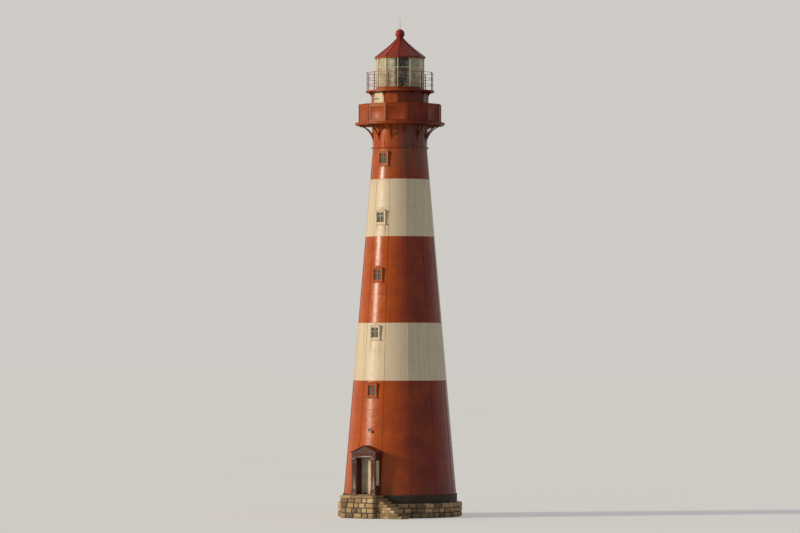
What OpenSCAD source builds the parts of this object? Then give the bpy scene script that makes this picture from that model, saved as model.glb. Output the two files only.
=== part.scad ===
// Coastal lighthouse: a tapering round tower of cast-iron plates on a low stone plinth.
// Frame: origin on the tower's axis at the underside of the plinth, +Z up, the door faces -Y.

/* [Stone base] */
// How far the round stone plinth stands out from the footing course
plinth_out = 360; // [200:10:800]
// Height of the stone plinth
plinth_h = 940; // [600:10:1400]
// How far the tarred footing course stands out from the foot of the shaft
footing_out = 55; // [20:5:150]
// Height of the footing course
footing_h = 530; // [300:10:800]
// Width of the stone landing in front of the door
landing_w = 2640; // [2100:10:3400]
// How far the landing stands out in front of the plinth
landing_out = 850; // [700:10:1400]
// Width of the flight of steps beside the landing
flight_w = 900; // [700:10:1100]
// How far the flight lies behind the landing's front face
flight_back = 400; // [100:10:500]
// Depth of one tread
tread_d = 280; // [240:5:340]
// Number of risers from the ground to the landing
riser_count = 8; // [6:1:10]

/* [Shaft] */
// Outer radius of the iron shaft at its foot
base_r = 3685; // [3500:5:3900]
// Outer radius of the iron shaft at the ledge below the gallery
neck_r = 1785; // [1700:5:2000]
// Thickness of the cast-iron wall plates
wall_t = 30; // [20:1:60]
// Height of the lowest red course, which has the doorway
base_course_h = 3650; // [3500:10:4600]
// Height of the red course above it
red_low_h = 3760; // [3000:10:4200]
// Height of the lower white band
white_low_h = 3760; // [3200:10:4400]
// Height of the red band between the white ones
red_mid_h = 5640; // [5000:10:6400]
// Height of the upper white band
white_high_h = 3760; // [3200:10:4400]
// Height of the red band under the ledge
red_top_h = 1980; // [1500:10:2400]
// Height of the upright neck between the ledge and the gallery
neck_h = 1600; // [1450:10:2000]
// Thickness of the landing floors inside the shaft
floor_t = 40; // [25:1:80]

/* [Ledge] */
// How far the ledge moulding stands out from the shaft
ledge_out = 110; // [60:5:160]
// Height of the ledge moulding
ledge_h = 150; // [100:5:220]

/* [Windows] */
// Number of windows, one above the other
window_count = 5; // [3:1:5]
// Clear width of a window opening
window_w = 600; // [500:10:700]
// Clear height of a window opening
window_h = 720; // [600:10:780]
// Drop from the joint over a window to the window's middle
window_drop = 640; // [620:10:900]
// Drop from a window's middle to the floor under it
window_floor_drop = 1550; // [1300:10:1700]
// Width of the raised surround of a window
surround_w = 90; // [60:5:100]
// How far the surround stands out from the wall at mid height
surround_out = 90; // [75:5:130]
// How far hood and sill stand out further than the surround
hood_out = 50; // [30:5:80]
// Height of the gabled hood over a window
hood_h = 150; // [100:5:180]
// Height of a window's sill
sill_h = 70; // [50:5:90]
// Width of a sash bar round the glass
sash_w = 48; // [36:2:60]
// Depth of the sash frame
sash_d = 80; // [70:5:90]
// How far the glazing bars lie back from the front of the sash
bar_back = 5; // [2:1:10]
// Width of the glazing bars
bar_w = 28; // [20:2:36]
// Rise of a window's level bar over the window's middle
bar_rise = 90; // [0:5:180]
// Thickness of the window and lantern glass
glass_t = 8; // [5:1:12]

/* [Entrance] */
// Overall width of the iron portal
portal_w = 1880; // [1760:10:2040]
// How far the portal's front stands out from the foot of the shaft
portal_out = 435; // [380:5:600]
// Clear width between the portal's jambs
portal_clear_w = 1150; // [1050:10:1250]
// Height of the lintel over the jambs
lintel_h = 390; // [300:10:460]
// Rise of the gable over the lintel
gable_h = 430; // [300:10:520]
// How far the gable's cornice stands out all round
cornice_out = 65; // [40:5:100]
// Thickness of the lining that runs through the wall
lining_t = 60; // [40:5:90]
// How far the lining runs past the back of the door
lining_past = 20; // [10:5:60]
// Height of the threshold
threshold_h = 40; // [35:1:60]
// Width of a post of the door frame
frame_w = 47; // [40:1:60]
// Gap round the door leaf
leaf_gap = 9; // [9:1:12]
// Height of the door leaf
leaf_h = 2300; // [2000:10:2330]
// Thickness of the door leaf
leaf_t = 60; // [45:1:64]
// How far the door frame's front stands out from the wall at the door's head
frame_out = 30; // [20:1:60]
// Depth of the recessed panels of the leaf
panel_recess = 12; // [6:1:16]
// Width of the leaf's stiles and rails
stile_w = 130; // [100:5:160]
// Height of the door knob over the foot of the leaf
knob_z = 1060; // [950:10:1200]
// Radius of the door knob
knob_r = 32; // [24:1:38]
// Radius of the knobs' stem
knob_stem_r = 10; // [7:0.5:14]
// Distance from a face of the leaf to a knob's middle
knob_reach = 64; // [50:1:80]
// Outer radius of a hinge barrel
hinge_r = 16; // [14:1:18]
// Radius of a hinge pin
hinge_pin_r = 7; // [5:0.5:9]
// Gap between the hinge barrel and the back of the leaf
hinge_clear = 6; // [4:1:10]
// Height of the leaf's knuckle in a hinge
knuckle_h = 60; // [40:1:90]
// Height of a fixed end of a hinge
hinge_end_h = 35; // [25:1:50]
// Gap between the knuckle and a fixed end
hinge_split = 5; // [5:0.5:8]

/* [Main gallery] */
// Radius of the gallery deck
deck_r = 2950; // [2900:10:3200]
// Thickness of the gallery deck
deck_t = 140; // [100:5:180]
// Height of the deck's rounded edge
deck_nose = 60; // [40:5:90]
// Height of the curved brackets, which is also the radius of their curve
bracket_h = 1280; // [1240:10:1400]
// How far the brackets stop short of the deck's edge
bracket_inset = 150; // [80:10:240]
// Thickness of a bracket
bracket_t = 70; // [50:5:100]
// Depth of the curved rib of a bracket
bracket_rib = 85; // [60:5:110]
// Depth of the straight bars of a bracket, along the wall and the deck
bracket_bar = 60; // [45:5:80]
// Radius of the parapet, out to the corners of its posts
parapet_r = 2750; // [2700:10:2820]
// Height of the parapet over the deck
parapet_h = 1210; // [1050:10:1300]
// Side of a parapet post
post_w = 80; // [60:5:100]
// Thickness of a parapet panel at its border
panel_t = 34; // [26:2:46]
// Thickness of a parapet panel inside its border
panel_field_t = 14; // [8:1:20]
// Width of a parapet panel's border
panel_border = 90; // [60:5:120]
// Width of the parapet's handrail
handrail_w = 110; // [90:5:140]
// Height of the parapet's handrail
handrail_h = 60; // [40:5:80]

/* [Watch room] */
// Radius of the twelve-sided watch room, out to its corners
drum_r = 1870; // [1840:10:2000]
// Height of the watch room between the two decks
drum_h = 2020; // [1950:10:2200]
// Thickness of the watch room's plates
drum_t = 30; // [20:1:50]
// Width of the gallery door
gallery_door_w = 760; // [650:10:800]
// Height of the gallery door
gallery_door_h = 1760; // [1600:10:1800]
// Thickness of the gallery door
gallery_door_t = 45; // [34:1:60]
// Height of the gallery door's foot over the deck
gallery_door_sill = 90; // [50:5:120]

/* [Lantern gallery] */
// Radius of the lantern deck
lantern_deck_r = 2250; // [2220:10:2500]
// Thickness of the lantern deck
lantern_deck_t = 100; // [70:5:140]
// Height of the small brackets under the lantern deck
small_bracket_h = 380; // [300:10:450]
// Thickness of a small bracket
small_bracket_t = 50; // [36:2:70]
// How far the small brackets stop short of the lantern deck's edge
small_bracket_inset = 60; // [30:5:120]
// Radius of the lantern rail's posts
rail_r = 2190; // [2120:5:2200]
// Height of the lantern rail
rail_h = 1190; // [1000:10:1250]
// Side of a rail post
rail_post_w = 42; // [30:2:56]
// Thickness of the rail's bars
rail_bar_w = 26; // [20:2:36]
// Number of bars in the rail
rail_bar_count = 3; // [2:1:4]

/* [Lantern] */
// Radius of the twelve-sided lantern, out to its corners
lantern_r = 1585; // [1500:5:1650]
// Height of the iron wall under the glass
lantern_sill_h = 220; // [150:10:400]
// Thickness of the iron wall under the glass
lantern_sill_t = 70; // [50:5:100]
// Height of the glazing
glazing_h = 1880; // [1600:10:2100]
// Side of an upright glazing bar
astragal_w = 62; // [44:2:80]
// Height of a level glazing bar
transom_h = 40; // [28:2:60]
// Depth of a level glazing bar
transom_d = 46; // [30:2:60]
// Number of level glazing bars, one above the other
transom_count = 2; // [1:1:4]
// Height of the cornice over the glass
lantern_cornice_h = 100; // [70:5:140]
// How far the cornice stands out from the glazing bars
lantern_cornice_out = 70; // [40:5:90]

/* [Lens] */
// Radius of the lens at its middle
lens_r = 460; // [380:5:560]
// Height of the lens's middle belt
lens_belt_h = 360; // [260:10:440]
// Number of ring prisms above and below the belt
lens_prism_count = 6; // [4:1:7]
// Height of one ring prism
lens_prism_h = 95; // [70:1:110]
// How far a prism's lower edge stands out from the lens's outline
prism_out = 18; // [8:1:26]
// How far a prism's upper edge lies inside the lens's outline
prism_in = 22; // [10:1:30]
// How much narrower the ends of the lens are than its middle, as a share
lens_taper = 0.55; // [0.3:0.05:0.7]
// Height of the lens's middle over the foot of the glazing
lens_rise = 980; // [850:10:1050]
// Radius of the pedestal's column
pedestal_r = 190; // [140:5:260]
// Radius of the pedestal's foot
pedestal_foot_r = 285; // [200:5:400]
// Height of the pedestal's foot
pedestal_foot_h = 60; // [40:5:100]
// Height of the table under the lens
pedestal_table_h = 40; // [30:5:70]

/* [Roof] */
// Radius of the roof at its eaves, out to the corners
eaves_r = 1690; // [1670:5:1800]
// Height of the roof from its eaves to the ventilator's neck
roof_h = 1300; // [1000:10:1600]
// Radius of the ventilator's neck
vent_neck_r = 190; // [140:5:240]
// Thickness of the roof sheet
roof_t = 25; // [16:1:40]
// How strongly the roof's slope hollows, where 1 is straight
roof_hollow = 1.18; // [1.05:0.01:1.6]
// Width of the rib over a joint of the roof
rib_w = 64; // [40:2:90]
// How far a rib stands out from the roof
rib_out = 36; // [20:2:50]
// Radius of the ventilator ball
ball_r = 310; // [260:5:360]
// Height of the ball's middle over its neck's foot
ball_rise = 265; // [200:5:300]
// Height of the collar at the neck's foot
collar_h = 50; // [30:5:80]
// Height of the lightning rod over the ball
rod_h = 740; // [500:10:1000]
// Radius of the lightning rod at its foot
rod_r = 22; // [14:1:30]
// Radius of the lightning rod at its tip
rod_tip_r = 8; // [5:1:12]

/* [Door lamp] */
// Height of the lamp over the door sill
lamp_z = 4270; // [4100:10:4600]
// Radius of the lamp's glass
lamp_r = 85; // [60:5:110]
// Radius of the lamp's shade
lamp_shade_r = 110; // [80:5:140]
// Height of the lamp's shade
lamp_shade_h = 85; // [60:5:110]
// Drop from the shade's head to the globe's middle
lamp_globe_drop = 128; // [110:1:150]
// How far the lamp's arm stands out from the wall
lamp_arm = 220; // [180:10:300]
// Radius of the lamp's arm
lamp_arm_r = 14; // [10:1:20]
// Radius of the arm's wall plate
lamp_plate_r = 56; // [40:2:80]
// Thickness of the arm's wall plate
lamp_plate_t = 24; // [14:2:40]

/* [Hidden] */

// Sides of the parapet, the watch room, the lantern and the roof
sides = 12;
bay = 360 / sides;
// Plates of one course, edge to edge, the first of them in front
plate_count = 12;
right_plates = [1 : 3];
back_plates = [4 : 8];
left_plates = [9 : 11];
// Gap between plates that stand edge to edge
plate_gap = 0.5;
// Gap at a seat, left off the lower piece
seat_gap = 0.3;
// Overrun of a cut past the face that it opens
over = 40;
// Depth to which a piece is sunk into its own other half
sunk = 1;
// Fineness of the large round walls and of small round pieces
wall_fn = 360;
small_fn = 64;

footing_r = base_r + footing_out;
plinth_r = footing_r + plinth_out;
sill_z = plinth_h + footing_h;
white_low_z = sill_z + base_course_h + red_low_h;
red_mid_z = white_low_z + white_low_h;
white_high_z = red_mid_z + red_mid_h;
red_top_z = white_high_z + white_high_h;
ledge_z = red_top_z + red_top_h;
neck_top_z = ledge_z + neck_h;
deck_z = neck_top_z + deck_t;
drum_top_z = deck_z + drum_h;
lantern_z = drum_top_z + lantern_deck_t;
glazing_z = lantern_z + lantern_sill_h;
cornice_z = glazing_z + glazing_h;
roof_z = cornice_z + lantern_cornice_h;
vent_z = roof_z + roof_h;
ball_z = vent_z + ball_rise;

// Height of the plate joint over each window, one window to every second row of plates
window_joint_z = [
    white_low_z,
    red_mid_z,
    white_high_z - red_mid_h / 3,
    red_top_z - white_high_h / 2,
    ledge_z
];
window_z = [for (i = [0 : window_count - 1]) window_joint_z[i] - window_drop];

riser_h = sill_z / riser_count;
landing_front = plinth_r + landing_out;
flight_front = landing_front - flight_back;

portal_front = base_r + portal_out;
frame_clear_w = portal_clear_w - 2 * frame_w;
leaf_w = frame_clear_w - 2 * leaf_gap;
leaf_z = sill_z + threshold_h + leaf_gap;
frame_head_z = leaf_z + leaf_h + leaf_gap;
lintel_z = frame_head_z + frame_w;
leaf_front = shaft_r(frame_head_z) + frame_out;
leaf_back = leaf_front - leaf_t;
lining_back = leaf_back - lining_past;
wall_cut_w = portal_clear_w + 2 * lining_t;
wall_cut_z = lintel_z + lining_t;
hinge_x = -(frame_clear_w - leaf_gap) / 2;
hinge_y = -leaf_back + hinge_r + hinge_clear;
hinge_plate_t = 10;
hinge_plate_w = 46;
hinge_inset = 280;
hinge_z = [leaf_z + hinge_inset, leaf_z + leaf_h / 2, leaf_z + leaf_h - hinge_inset];

// Moulding of the ledge, as shares of its height and of its reach
ledge_profile = [[0, 0.1], [0.25, 0.45], [0.5, 0.55], [0.65, 1], [0.9, 1], [1, 0]];
bracket_reach = deck_r - bracket_inset - neck_r;
gallery_door_side = -bay / 2;
astragal_r = lantern_r - astragal_w / 2;
pane_h = (glazing_h - transom_count * transom_h) / (transom_count + 1);

lens_h = lens_belt_h + 2 * lens_prism_count * lens_prism_h;
lens_z = glazing_z + lens_rise;
roof_steps = 8;
// Thickness of the sloping roof sheet when cut level
roof_level_t = roof_t / sin(atan2(roof_h, eaves_r - vent_neck_r));

// Outer radius of the shaft at a height
function shaft_r(z) = base_r + (neck_r - base_r) * (z - sill_z) / (ledge_z - sill_z);

// Distance from the axis to the flat of a twelve-sided wall with its corners at radius r
function flat_r(r) = r * cos(bay / 2);

// Radius of the lens's outline at the top of prism i
function prism_r(i) = lens_r * (1 - pow((i + 1) / (lens_prism_count + 1), 2) * lens_taper);

// Radius of the roof's corners at a share t of its height
function roof_r(t) = vent_neck_r + (eaves_r - vent_neck_r) * pow(1 - t, roof_hollow);

// Solid core of the shaft, to shape what is seated on the wall's outer face
module shaft_core() {
    low = sill_z - over;
    high = ledge_z + over;
    translate([0, 0, low])
        cylinder(h = high - low, r1 = shaft_r(low) + seat_gap, r2 = shaft_r(high) + seat_gap, $fn = wall_fn);
}

// Round seat of the landing and the steps, cut to the plinth and the footing course
module base_seat() {
    translate([0, 0, -over])
        cylinder(h = plinth_h + over, r = plinth_r + seat_gap, $fn = wall_fn);
    translate([0, 0, -over])
        cylinder(h = sill_z + 2 * over, r = footing_r + seat_gap, $fn = wall_fn);
}

// Ring of curved plates turned from a profile, one for each number in the list
module ring_plates(profile, radius, which = [0 : plate_count - 1]) {
    gap_angle = atan(plate_gap / radius);
    for (i = which)
        rotate([0, 0, -90 + 360 / plate_count * (i - 0.5) + gap_angle / 2])
            rotate_extrude(angle = 360 / plate_count - gap_angle, $fn = wall_fn)
                polygon(profile);
}

// One course of tapering wall plates with the windows cut through
module wall_course(low, next, which = [0 : plate_count - 1]) {
    high = next - seat_gap;
    difference() {
        ring_plates([
            [shaft_r(low) - wall_t, low], [shaft_r(low), low],
            [shaft_r(high), high], [shaft_r(high) - wall_t, high]
        ], shaft_r(high), which);
        for (z = window_z)
            if (z + window_h / 2 > low && z - window_h / 2 < high)
                window_block(z, 0, window_w, window_h, over, wall_t + 2 * over);
    }
}

// Box on the window line: middle height z, moved up by rise, out of and into the wall
module window_block(z, rise, width, height, out, into) {
    translate([-width / 2, -shaft_r(z) - out, z + rise - height / 2])
        cube([width, out + into, height]);
}

// Half the length of a bay's flat at distance x from the axis, held back from the corner by gap
function bay_half(x, gap) = x * tan(bay / 2) - gap / cos(bay / 2);

// Twelve flat bars round the axis with mitred ends, each held back from its corners by gap
module bay_bars(inner, outer, z, height, turn = 0, gap = plate_gap / 2) {
    for (i = [0 : sides - 1])
        rotate([0, 0, turn + bay * (i + 0.5)])
            translate([0, 0, z])
                linear_extrude(height)
                    polygon([
                        [inner, -bay_half(inner, gap)], [outer, -bay_half(outer, gap)],
                        [outer, bay_half(outer, gap)], [inner, bay_half(inner, gap)]
                    ]);
}

// Repeats its children at the corners of a twelve-sided ring
module at_corners(turn = 0) {
    for (i = [0 : sides - 1])
        rotate([0, 0, turn + bay * i])
            children();
}

// Stone base

module plinth() {
    color("tan")
        cylinder(h = plinth_h - seat_gap, r = plinth_r, $fn = wall_fn);
}

module footing_course() {
    color("dimgray")
        translate([0, 0, plinth_h])
            cylinder(h = footing_h - seat_gap, r = footing_r, $fn = wall_fn);
}

module door_landing() {
    color("tan")
        difference() {
            translate([-landing_w / 2, -landing_front, 0])
                cube([landing_w, landing_front, sill_z - seat_gap]);
            base_seat();
        }
}

module entrance_steps() {
    color("darkkhaki")
        for (i = [1 : riser_count - 1])
            difference() {
                translate([landing_w / 2 + (i - 1) * tread_d + plate_gap, -flight_front, 0])
                    cube([tread_d - plate_gap, flight_w, sill_z - i * riser_h]);
                base_seat();
            }
}

module ground_floor() {
    color("dimgray")
        difference() {
            translate([0, 0, sill_z])
                cylinder(
                    h = threshold_h,
                    r1 = shaft_r(sill_z) - wall_t - seat_gap,
                    r2 = shaft_r(sill_z + threshold_h) - wall_t - seat_gap,
                    $fn = wall_fn
                );
            translate([-wall_cut_w / 2 - seat_gap, -base_r, sill_z - over])
                cube([wall_cut_w + 2 * seat_gap, base_r - lining_back + seat_gap, threshold_h + 2 * over]);
        }
}

// Shaft

module base_front_wall() {
    wall_course(sill_z, sill_z + base_course_h, [0]);
}

module base_wall_left() {
    color("firebrick") {
        wall_course(sill_z, sill_z + base_course_h, left_plates);
        difference() {
            base_front_wall();
            translate([-wall_cut_w / 2 - seat_gap, -2 * base_r, 0])
                cube([2 * base_r, 2 * base_r, ledge_z]);
        }
    }
}

module base_wall_right() {
    color("firebrick") {
        wall_course(sill_z, sill_z + base_course_h, right_plates);
        difference() {
            base_front_wall();
            translate([wall_cut_w / 2 + seat_gap - 2 * base_r, -2 * base_r, 0])
                cube([2 * base_r, 2 * base_r, ledge_z]);
        }
    }
}

module base_wall_over_door() {
    color("firebrick")
        intersection() {
            base_front_wall();
            translate([-(wall_cut_w - plate_gap) / 2, -2 * base_r, wall_cut_z + seat_gap])
                cube([wall_cut_w - plate_gap, 2 * base_r, ledge_z]);
        }
}

module base_wall_back() {
    color("firebrick")
        wall_course(sill_z, sill_z + base_course_h, back_plates);
}

module red_course_low() {
    color("firebrick")
        wall_course(sill_z + base_course_h, white_low_z);
}

module white_course_low() {
    color("linen")
        wall_course(white_low_z, red_mid_z);
}

module red_course_mid() {
    color("firebrick")
        wall_course(red_mid_z, white_high_z);
}

module white_course_high() {
    color("linen")
        wall_course(white_high_z, red_top_z);
}

module red_course_top() {
    color("firebrick")
        wall_course(red_top_z, ledge_z);
}

module storey_floors() {
    color("dimgray")
        for (z = window_z) {
            low = z - window_floor_drop;
            translate([0, 0, low])
                cylinder(
                    h = floor_t,
                    r1 = shaft_r(low) - wall_t - seat_gap,
                    r2 = shaft_r(low + floor_t) - wall_t - seat_gap,
                    $fn = wall_fn
                );
        }
}

module ledge_moulding() {
    height = ledge_h - seat_gap;
    front = [for (p = ledge_profile) [neck_r + ledge_out * p[1], ledge_z + height * p[0]]];
    inside = [[neck_r - wall_t, ledge_z + height], [neck_r - wall_t, ledge_z]];
    color("firebrick")
        ring_plates(concat(front, inside), neck_r);
}

module neck_wall() {
    low = ledge_z + ledge_h;
    high = neck_top_z - seat_gap;
    color("firebrick")
        ring_plates([
            [neck_r - wall_t, low], [neck_r, low],
            [neck_r, high], [neck_r - wall_t, high]
        ], neck_r);
}

// Windows

module gable(width, rise) {
    polygon([[-width / 2, 0], [width / 2, 0], [0, rise]]);
}

module window_surround(z) {
    outer_w = window_w + 2 * surround_w;
    outer_h = window_h + 2 * surround_w;
    hood_w = outer_w + 2 * hood_out;
    front = surround_out + hood_out;
    difference() {
        union() {
            window_block(z, 0, outer_w, outer_h, surround_out, sash_d);
            window_block(z, -outer_h / 2, hood_w, sill_h, front, sash_d);
            translate([0, -shaft_r(z) + sash_d, z + outer_h / 2])
                rotate([90, 0, 0])
                    linear_extrude(front + sash_d)
                        gable(hood_w, hood_h);
        }
        shaft_core();
        window_block(z, 0, window_w, window_h, 2 * front, 2 * sash_d);
    }
}

module window_surrounds() {
    color("firebrick")
        for (z = window_z)
            window_surround(z);
}

module window_sashes() {
    front = sash_d / 2;
    bar_in = -glass_t;
    color("ivory")
        for (z = window_z) {
            difference() {
                window_block(z, 0, window_w - 2 * seat_gap, window_h - 2 * seat_gap, front, sash_d - front);
                window_block(z, 0, window_w - 2 * sash_w, window_h - 2 * sash_w, over + front, over + sash_d);
            }
            window_block(z, 0, bar_w, window_h - sash_w, front - bar_back, bar_in);
            window_block(z, bar_rise, window_w - sash_w, bar_w, front - bar_back, bar_in);
        }
}

module window_glass() {
    front = glass_t - seat_gap;
    color("lightblue")
        for (z = window_z)
            window_block(z, 0, window_w - 2 * sash_w, window_h - 2 * sash_w, front, glass_t - front);
}

// Entrance

module portal_jambs() {
    jamb_h = lintel_z - sill_z - seat_gap;
    color("firebrick")
        for (side = [-1, 1]) {
            difference() {
                translate([side * (portal_clear_w + portal_w) / 4 - (portal_w - portal_clear_w) / 4,
                    -portal_front, sill_z])
                    cube([(portal_w - portal_clear_w) / 2, portal_front - leaf_back, jamb_h]);
                shaft_core();
            }
            translate([side * (portal_clear_w + lining_t) / 2 - lining_t / 2, -portal_front + over, sill_z])
                cube([lining_t, portal_front - over - lining_back, jamb_h]);
        }
}

module portal_head() {
    head_w = portal_w + 2 * cornice_out;
    slab = cornice_out;
    color("firebrick") {
        difference() {
            union() {
                translate([-portal_w / 2, -portal_front, lintel_z])
                    cube([portal_w, portal_front - leaf_back, lintel_h]);
                translate([-head_w / 2, -portal_front - cornice_out, lintel_z + lintel_h - slab])
                    cube([head_w, portal_front, slab]);
                translate([0, -leaf_back, lintel_z + lintel_h])
                    rotate([90, 0, 0])
                        linear_extrude(portal_front - leaf_back)
                            gable(portal_w, gable_h * portal_w / head_w);
                translate([0, -leaf_back, lintel_z + lintel_h])
                    rotate([90, 0, 0])
                        linear_extrude(portal_front + cornice_out - leaf_back)
                            difference() {
                                gable(head_w, gable_h);
                                translate([0, -slab])
                                    gable(head_w, gable_h);
                            }
            }
            shaft_core();
        }
        translate([-wall_cut_w / 2, -portal_front + over, lintel_z])
            cube([wall_cut_w, portal_front - over - lining_back, lining_t]);
    }
}

module door_threshold() {
    color("dimgray")
        translate([-portal_clear_w / 2, -portal_front + over, sill_z])
            cube([portal_clear_w, portal_front - over - lining_back, threshold_h - seat_gap]);
}

module hinge_end(low) {
    translate([hinge_x, hinge_y, low])
        cylinder(h = hinge_end_h, r = hinge_r, $fn = small_fn);
    translate([hinge_x - hinge_plate_w, -leaf_back - sunk, low])
        cube([hinge_plate_w, hinge_plate_t + sunk, hinge_end_h]);
}

module door_frame() {
    post_low = sill_z + threshold_h;
    color("firebrick") {
        for (side = [-1, 1])
            translate([side * (portal_clear_w - frame_w) / 2 - frame_w / 2, -leaf_front, post_low])
                cube([frame_w, leaf_t, frame_head_z - post_low - seat_gap]);
        translate([-portal_clear_w / 2, -leaf_front, frame_head_z])
            cube([portal_clear_w, leaf_t, frame_w - seat_gap]);
        for (z = hinge_z) {
            hinge_end(z - knuckle_h / 2 - hinge_split - hinge_end_h);
            hinge_end(z + knuckle_h / 2 + hinge_split);
            translate([hinge_x, hinge_y, z - knuckle_h / 2 - hinge_split - sunk])
                cylinder(h = knuckle_h + 2 * (hinge_split + sunk), r = hinge_pin_r, $fn = small_fn);
        }
    }
}

module door_knobs() {
    translate([leaf_w / 2 - stile_w / 2, -leaf_front - knob_reach, leaf_z + knob_z])
        rotate([-90, 0, 0])
            cylinder(h = leaf_t + 2 * knob_reach, r = knob_stem_r, $fn = small_fn);
    for (y = [-leaf_front - knob_reach, -leaf_back + knob_reach])
        translate([leaf_w / 2 - stile_w / 2, y, leaf_z + knob_z])
            sphere(r = knob_r, $fn = small_fn);
}

module door_leaf() {
    panel_w = (leaf_w - 3 * stile_w) / 2;
    panel_rows = 3;
    panel_h = (leaf_h - (panel_rows + 1) * stile_w) / panel_rows;
    color("ivory") {
        door_knobs();
        difference() {
            union() {
                translate([-leaf_w / 2, -leaf_front, leaf_z])
                    cube([leaf_w, leaf_t, leaf_h]);
                for (z = hinge_z) {
                    translate([hinge_x, hinge_y, z - knuckle_h / 2])
                        cylinder(h = knuckle_h, r = hinge_r, $fn = small_fn);
                    translate([hinge_x, -leaf_back - sunk, z - knuckle_h / 2])
                        cube([hinge_plate_w, hinge_plate_t + sunk, knuckle_h]);
                }
            }
            for (z = hinge_z)
                translate([hinge_x, hinge_y, z - knuckle_h])
                    cylinder(h = 2 * knuckle_h, r = hinge_pin_r + 2 * seat_gap, $fn = small_fn);
            for (row = [0 : panel_rows - 1], column = [0, 1], y = [-leaf_front - over, -leaf_back - panel_recess])
                translate([
                    -leaf_w / 2 + stile_w + column * (panel_w + stile_w),
                    y,
                    leaf_z + stile_w + row * (panel_h + stile_w)
                ])
                    cube([panel_w, over + panel_recess, panel_h]);
        }
    }
}

module door_lamp() {
    z = sill_z + lamp_z;
    reach = shaft_r(z) + lamp_arm;
    color("darkslategray")
        difference() {
            union() {
                translate([0, -reach, z])
                    rotate([-90, 0, 0])
                        cylinder(h = lamp_arm + over, r = lamp_arm_r, $fn = small_fn);
                translate([0, -shaft_r(z) - lamp_plate_t, z])
                    rotate([-90, 0, 0])
                        cylinder(h = lamp_plate_t + over, r = lamp_plate_r, $fn = small_fn);
                translate([0, -reach, z - lamp_r])
                    cylinder(h = lamp_r + lamp_arm_r, r = lamp_arm_r, $fn = small_fn);
                translate([0, -reach, z - lamp_arm_r - lamp_shade_h])
                    cylinder(h = lamp_shade_h, r1 = lamp_shade_r, r2 = lamp_arm_r, $fn = small_fn);
                translate([0, -reach, z - lamp_arm_r - lamp_globe_drop])
                    sphere(r = lamp_r, $fn = small_fn);
            }
            shaft_core();
        }
}

// Main gallery

// Side view of a bracket: the wall is on the left, the deck on top
module bracket_profile() {
    difference() {
        square([bracket_reach, bracket_h]);
        translate([bracket_h, 0])
            circle(r = bracket_h, $fn = wall_fn);
        difference() {
            translate([bracket_bar, 0])
                square([bracket_reach, bracket_h - bracket_bar]);
            translate([bracket_h, 0])
                circle(r = bracket_h + bracket_rib, $fn = wall_fn);
        }
    }
    translate([0, bracket_h - bracket_bar])
        square([bracket_reach, bracket_bar]);
}

module gallery_brackets() {
    color("firebrick")
        at_corners(bay / 2)
            translate([neck_r + seat_gap, bracket_t / 2, neck_top_z - bracket_h - seat_gap])
                rotate([90, 0, 0])
                    linear_extrude(bracket_t)
                        bracket_profile();
}

module gallery_deck() {
    height = deck_t - seat_gap;
    color("firebrick")
        translate([0, 0, neck_top_z])
            rotate_extrude($fn = wall_fn)
                polygon([
                    [0, 0], [deck_r - deck_nose / 2, 0], [deck_r - deck_nose / 2, height - deck_nose],
                    [deck_r, height - deck_nose / 2], [deck_r, height], [0, height]
                ]);
}

module parapet_posts() {
    color("firebrick")
        at_corners(bay / 2)
            translate([parapet_r - post_w, -post_w / 2, deck_z])
                cube([post_w, post_w, parapet_h - handrail_h - seat_gap]);
}

module parapet_panels() {
    middle = flat_r(parapet_r - post_w / 2);
    height = parapet_h - handrail_h - seat_gap;
    field_w = 2 * bay_half(middle, post_w / 2) - 2 * panel_border;
    color("firebrick")
        difference() {
            bay_bars(middle - panel_t / 2, middle + panel_t / 2, deck_z, height, bay / 2, post_w / 2 + seat_gap);
            at_corners()
                for (face = [middle - panel_field_t / 2 - over, middle + panel_field_t / 2])
                    translate([face, -field_w / 2, deck_z + panel_border])
                        cube([over, field_w, height - 2 * panel_border]);
        }
}

module parapet_handrail() {
    middle = flat_r(parapet_r - post_w / 2);
    color("firebrick")
        bay_bars(middle - handrail_w / 2, middle + handrail_w / 2,
            deck_z + parapet_h - handrail_h, handrail_h, bay / 2);
}

// Watch room

module gallery_door_place() {
    rotate([0, 0, gallery_door_side])
        translate([-gallery_door_w / 2, -flat_r(drum_r), deck_z + gallery_door_sill])
            children();
}

module drum_wall() {
    color("firebrick")
        difference() {
            bay_bars(flat_r(drum_r) - drum_t, flat_r(drum_r), deck_z, drum_h - seat_gap);
            gallery_door_place()
                translate([-seat_gap, -over, -seat_gap])
                    cube([gallery_door_w + 2 * seat_gap, drum_t + 2 * over, gallery_door_h + 2 * seat_gap]);
        }
}

module gallery_door() {
    color("ivory")
        gallery_door_place()
            difference() {
                cube([gallery_door_w, gallery_door_t, gallery_door_h]);
                for (row = [0, 1])
                    translate([stile_w, -over, stile_w + row * (gallery_door_h - stile_w) / 2])
                        cube([
                            gallery_door_w - 2 * stile_w,
                            over + panel_recess,
                            (gallery_door_h - 3 * stile_w) / 2
                        ]);
            }
}

module drum_brackets() {
    reach = lantern_deck_r - drum_r - small_bracket_inset;
    color("firebrick")
        at_corners()
            translate([drum_r + seat_gap, small_bracket_t / 2, drum_top_z - small_bracket_h - seat_gap])
                rotate([90, 0, 0])
                    linear_extrude(small_bracket_t)
                        difference() {
                            square([reach, small_bracket_h]);
                            translate([small_bracket_h, 0])
                                circle(r = small_bracket_h, $fn = wall_fn);
                        }
}

// Lantern gallery

module lantern_deck() {
    color("firebrick")
        translate([0, 0, drum_top_z])
            cylinder(h = lantern_deck_t - seat_gap, r = lantern_deck_r, $fn = wall_fn);
}

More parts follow.
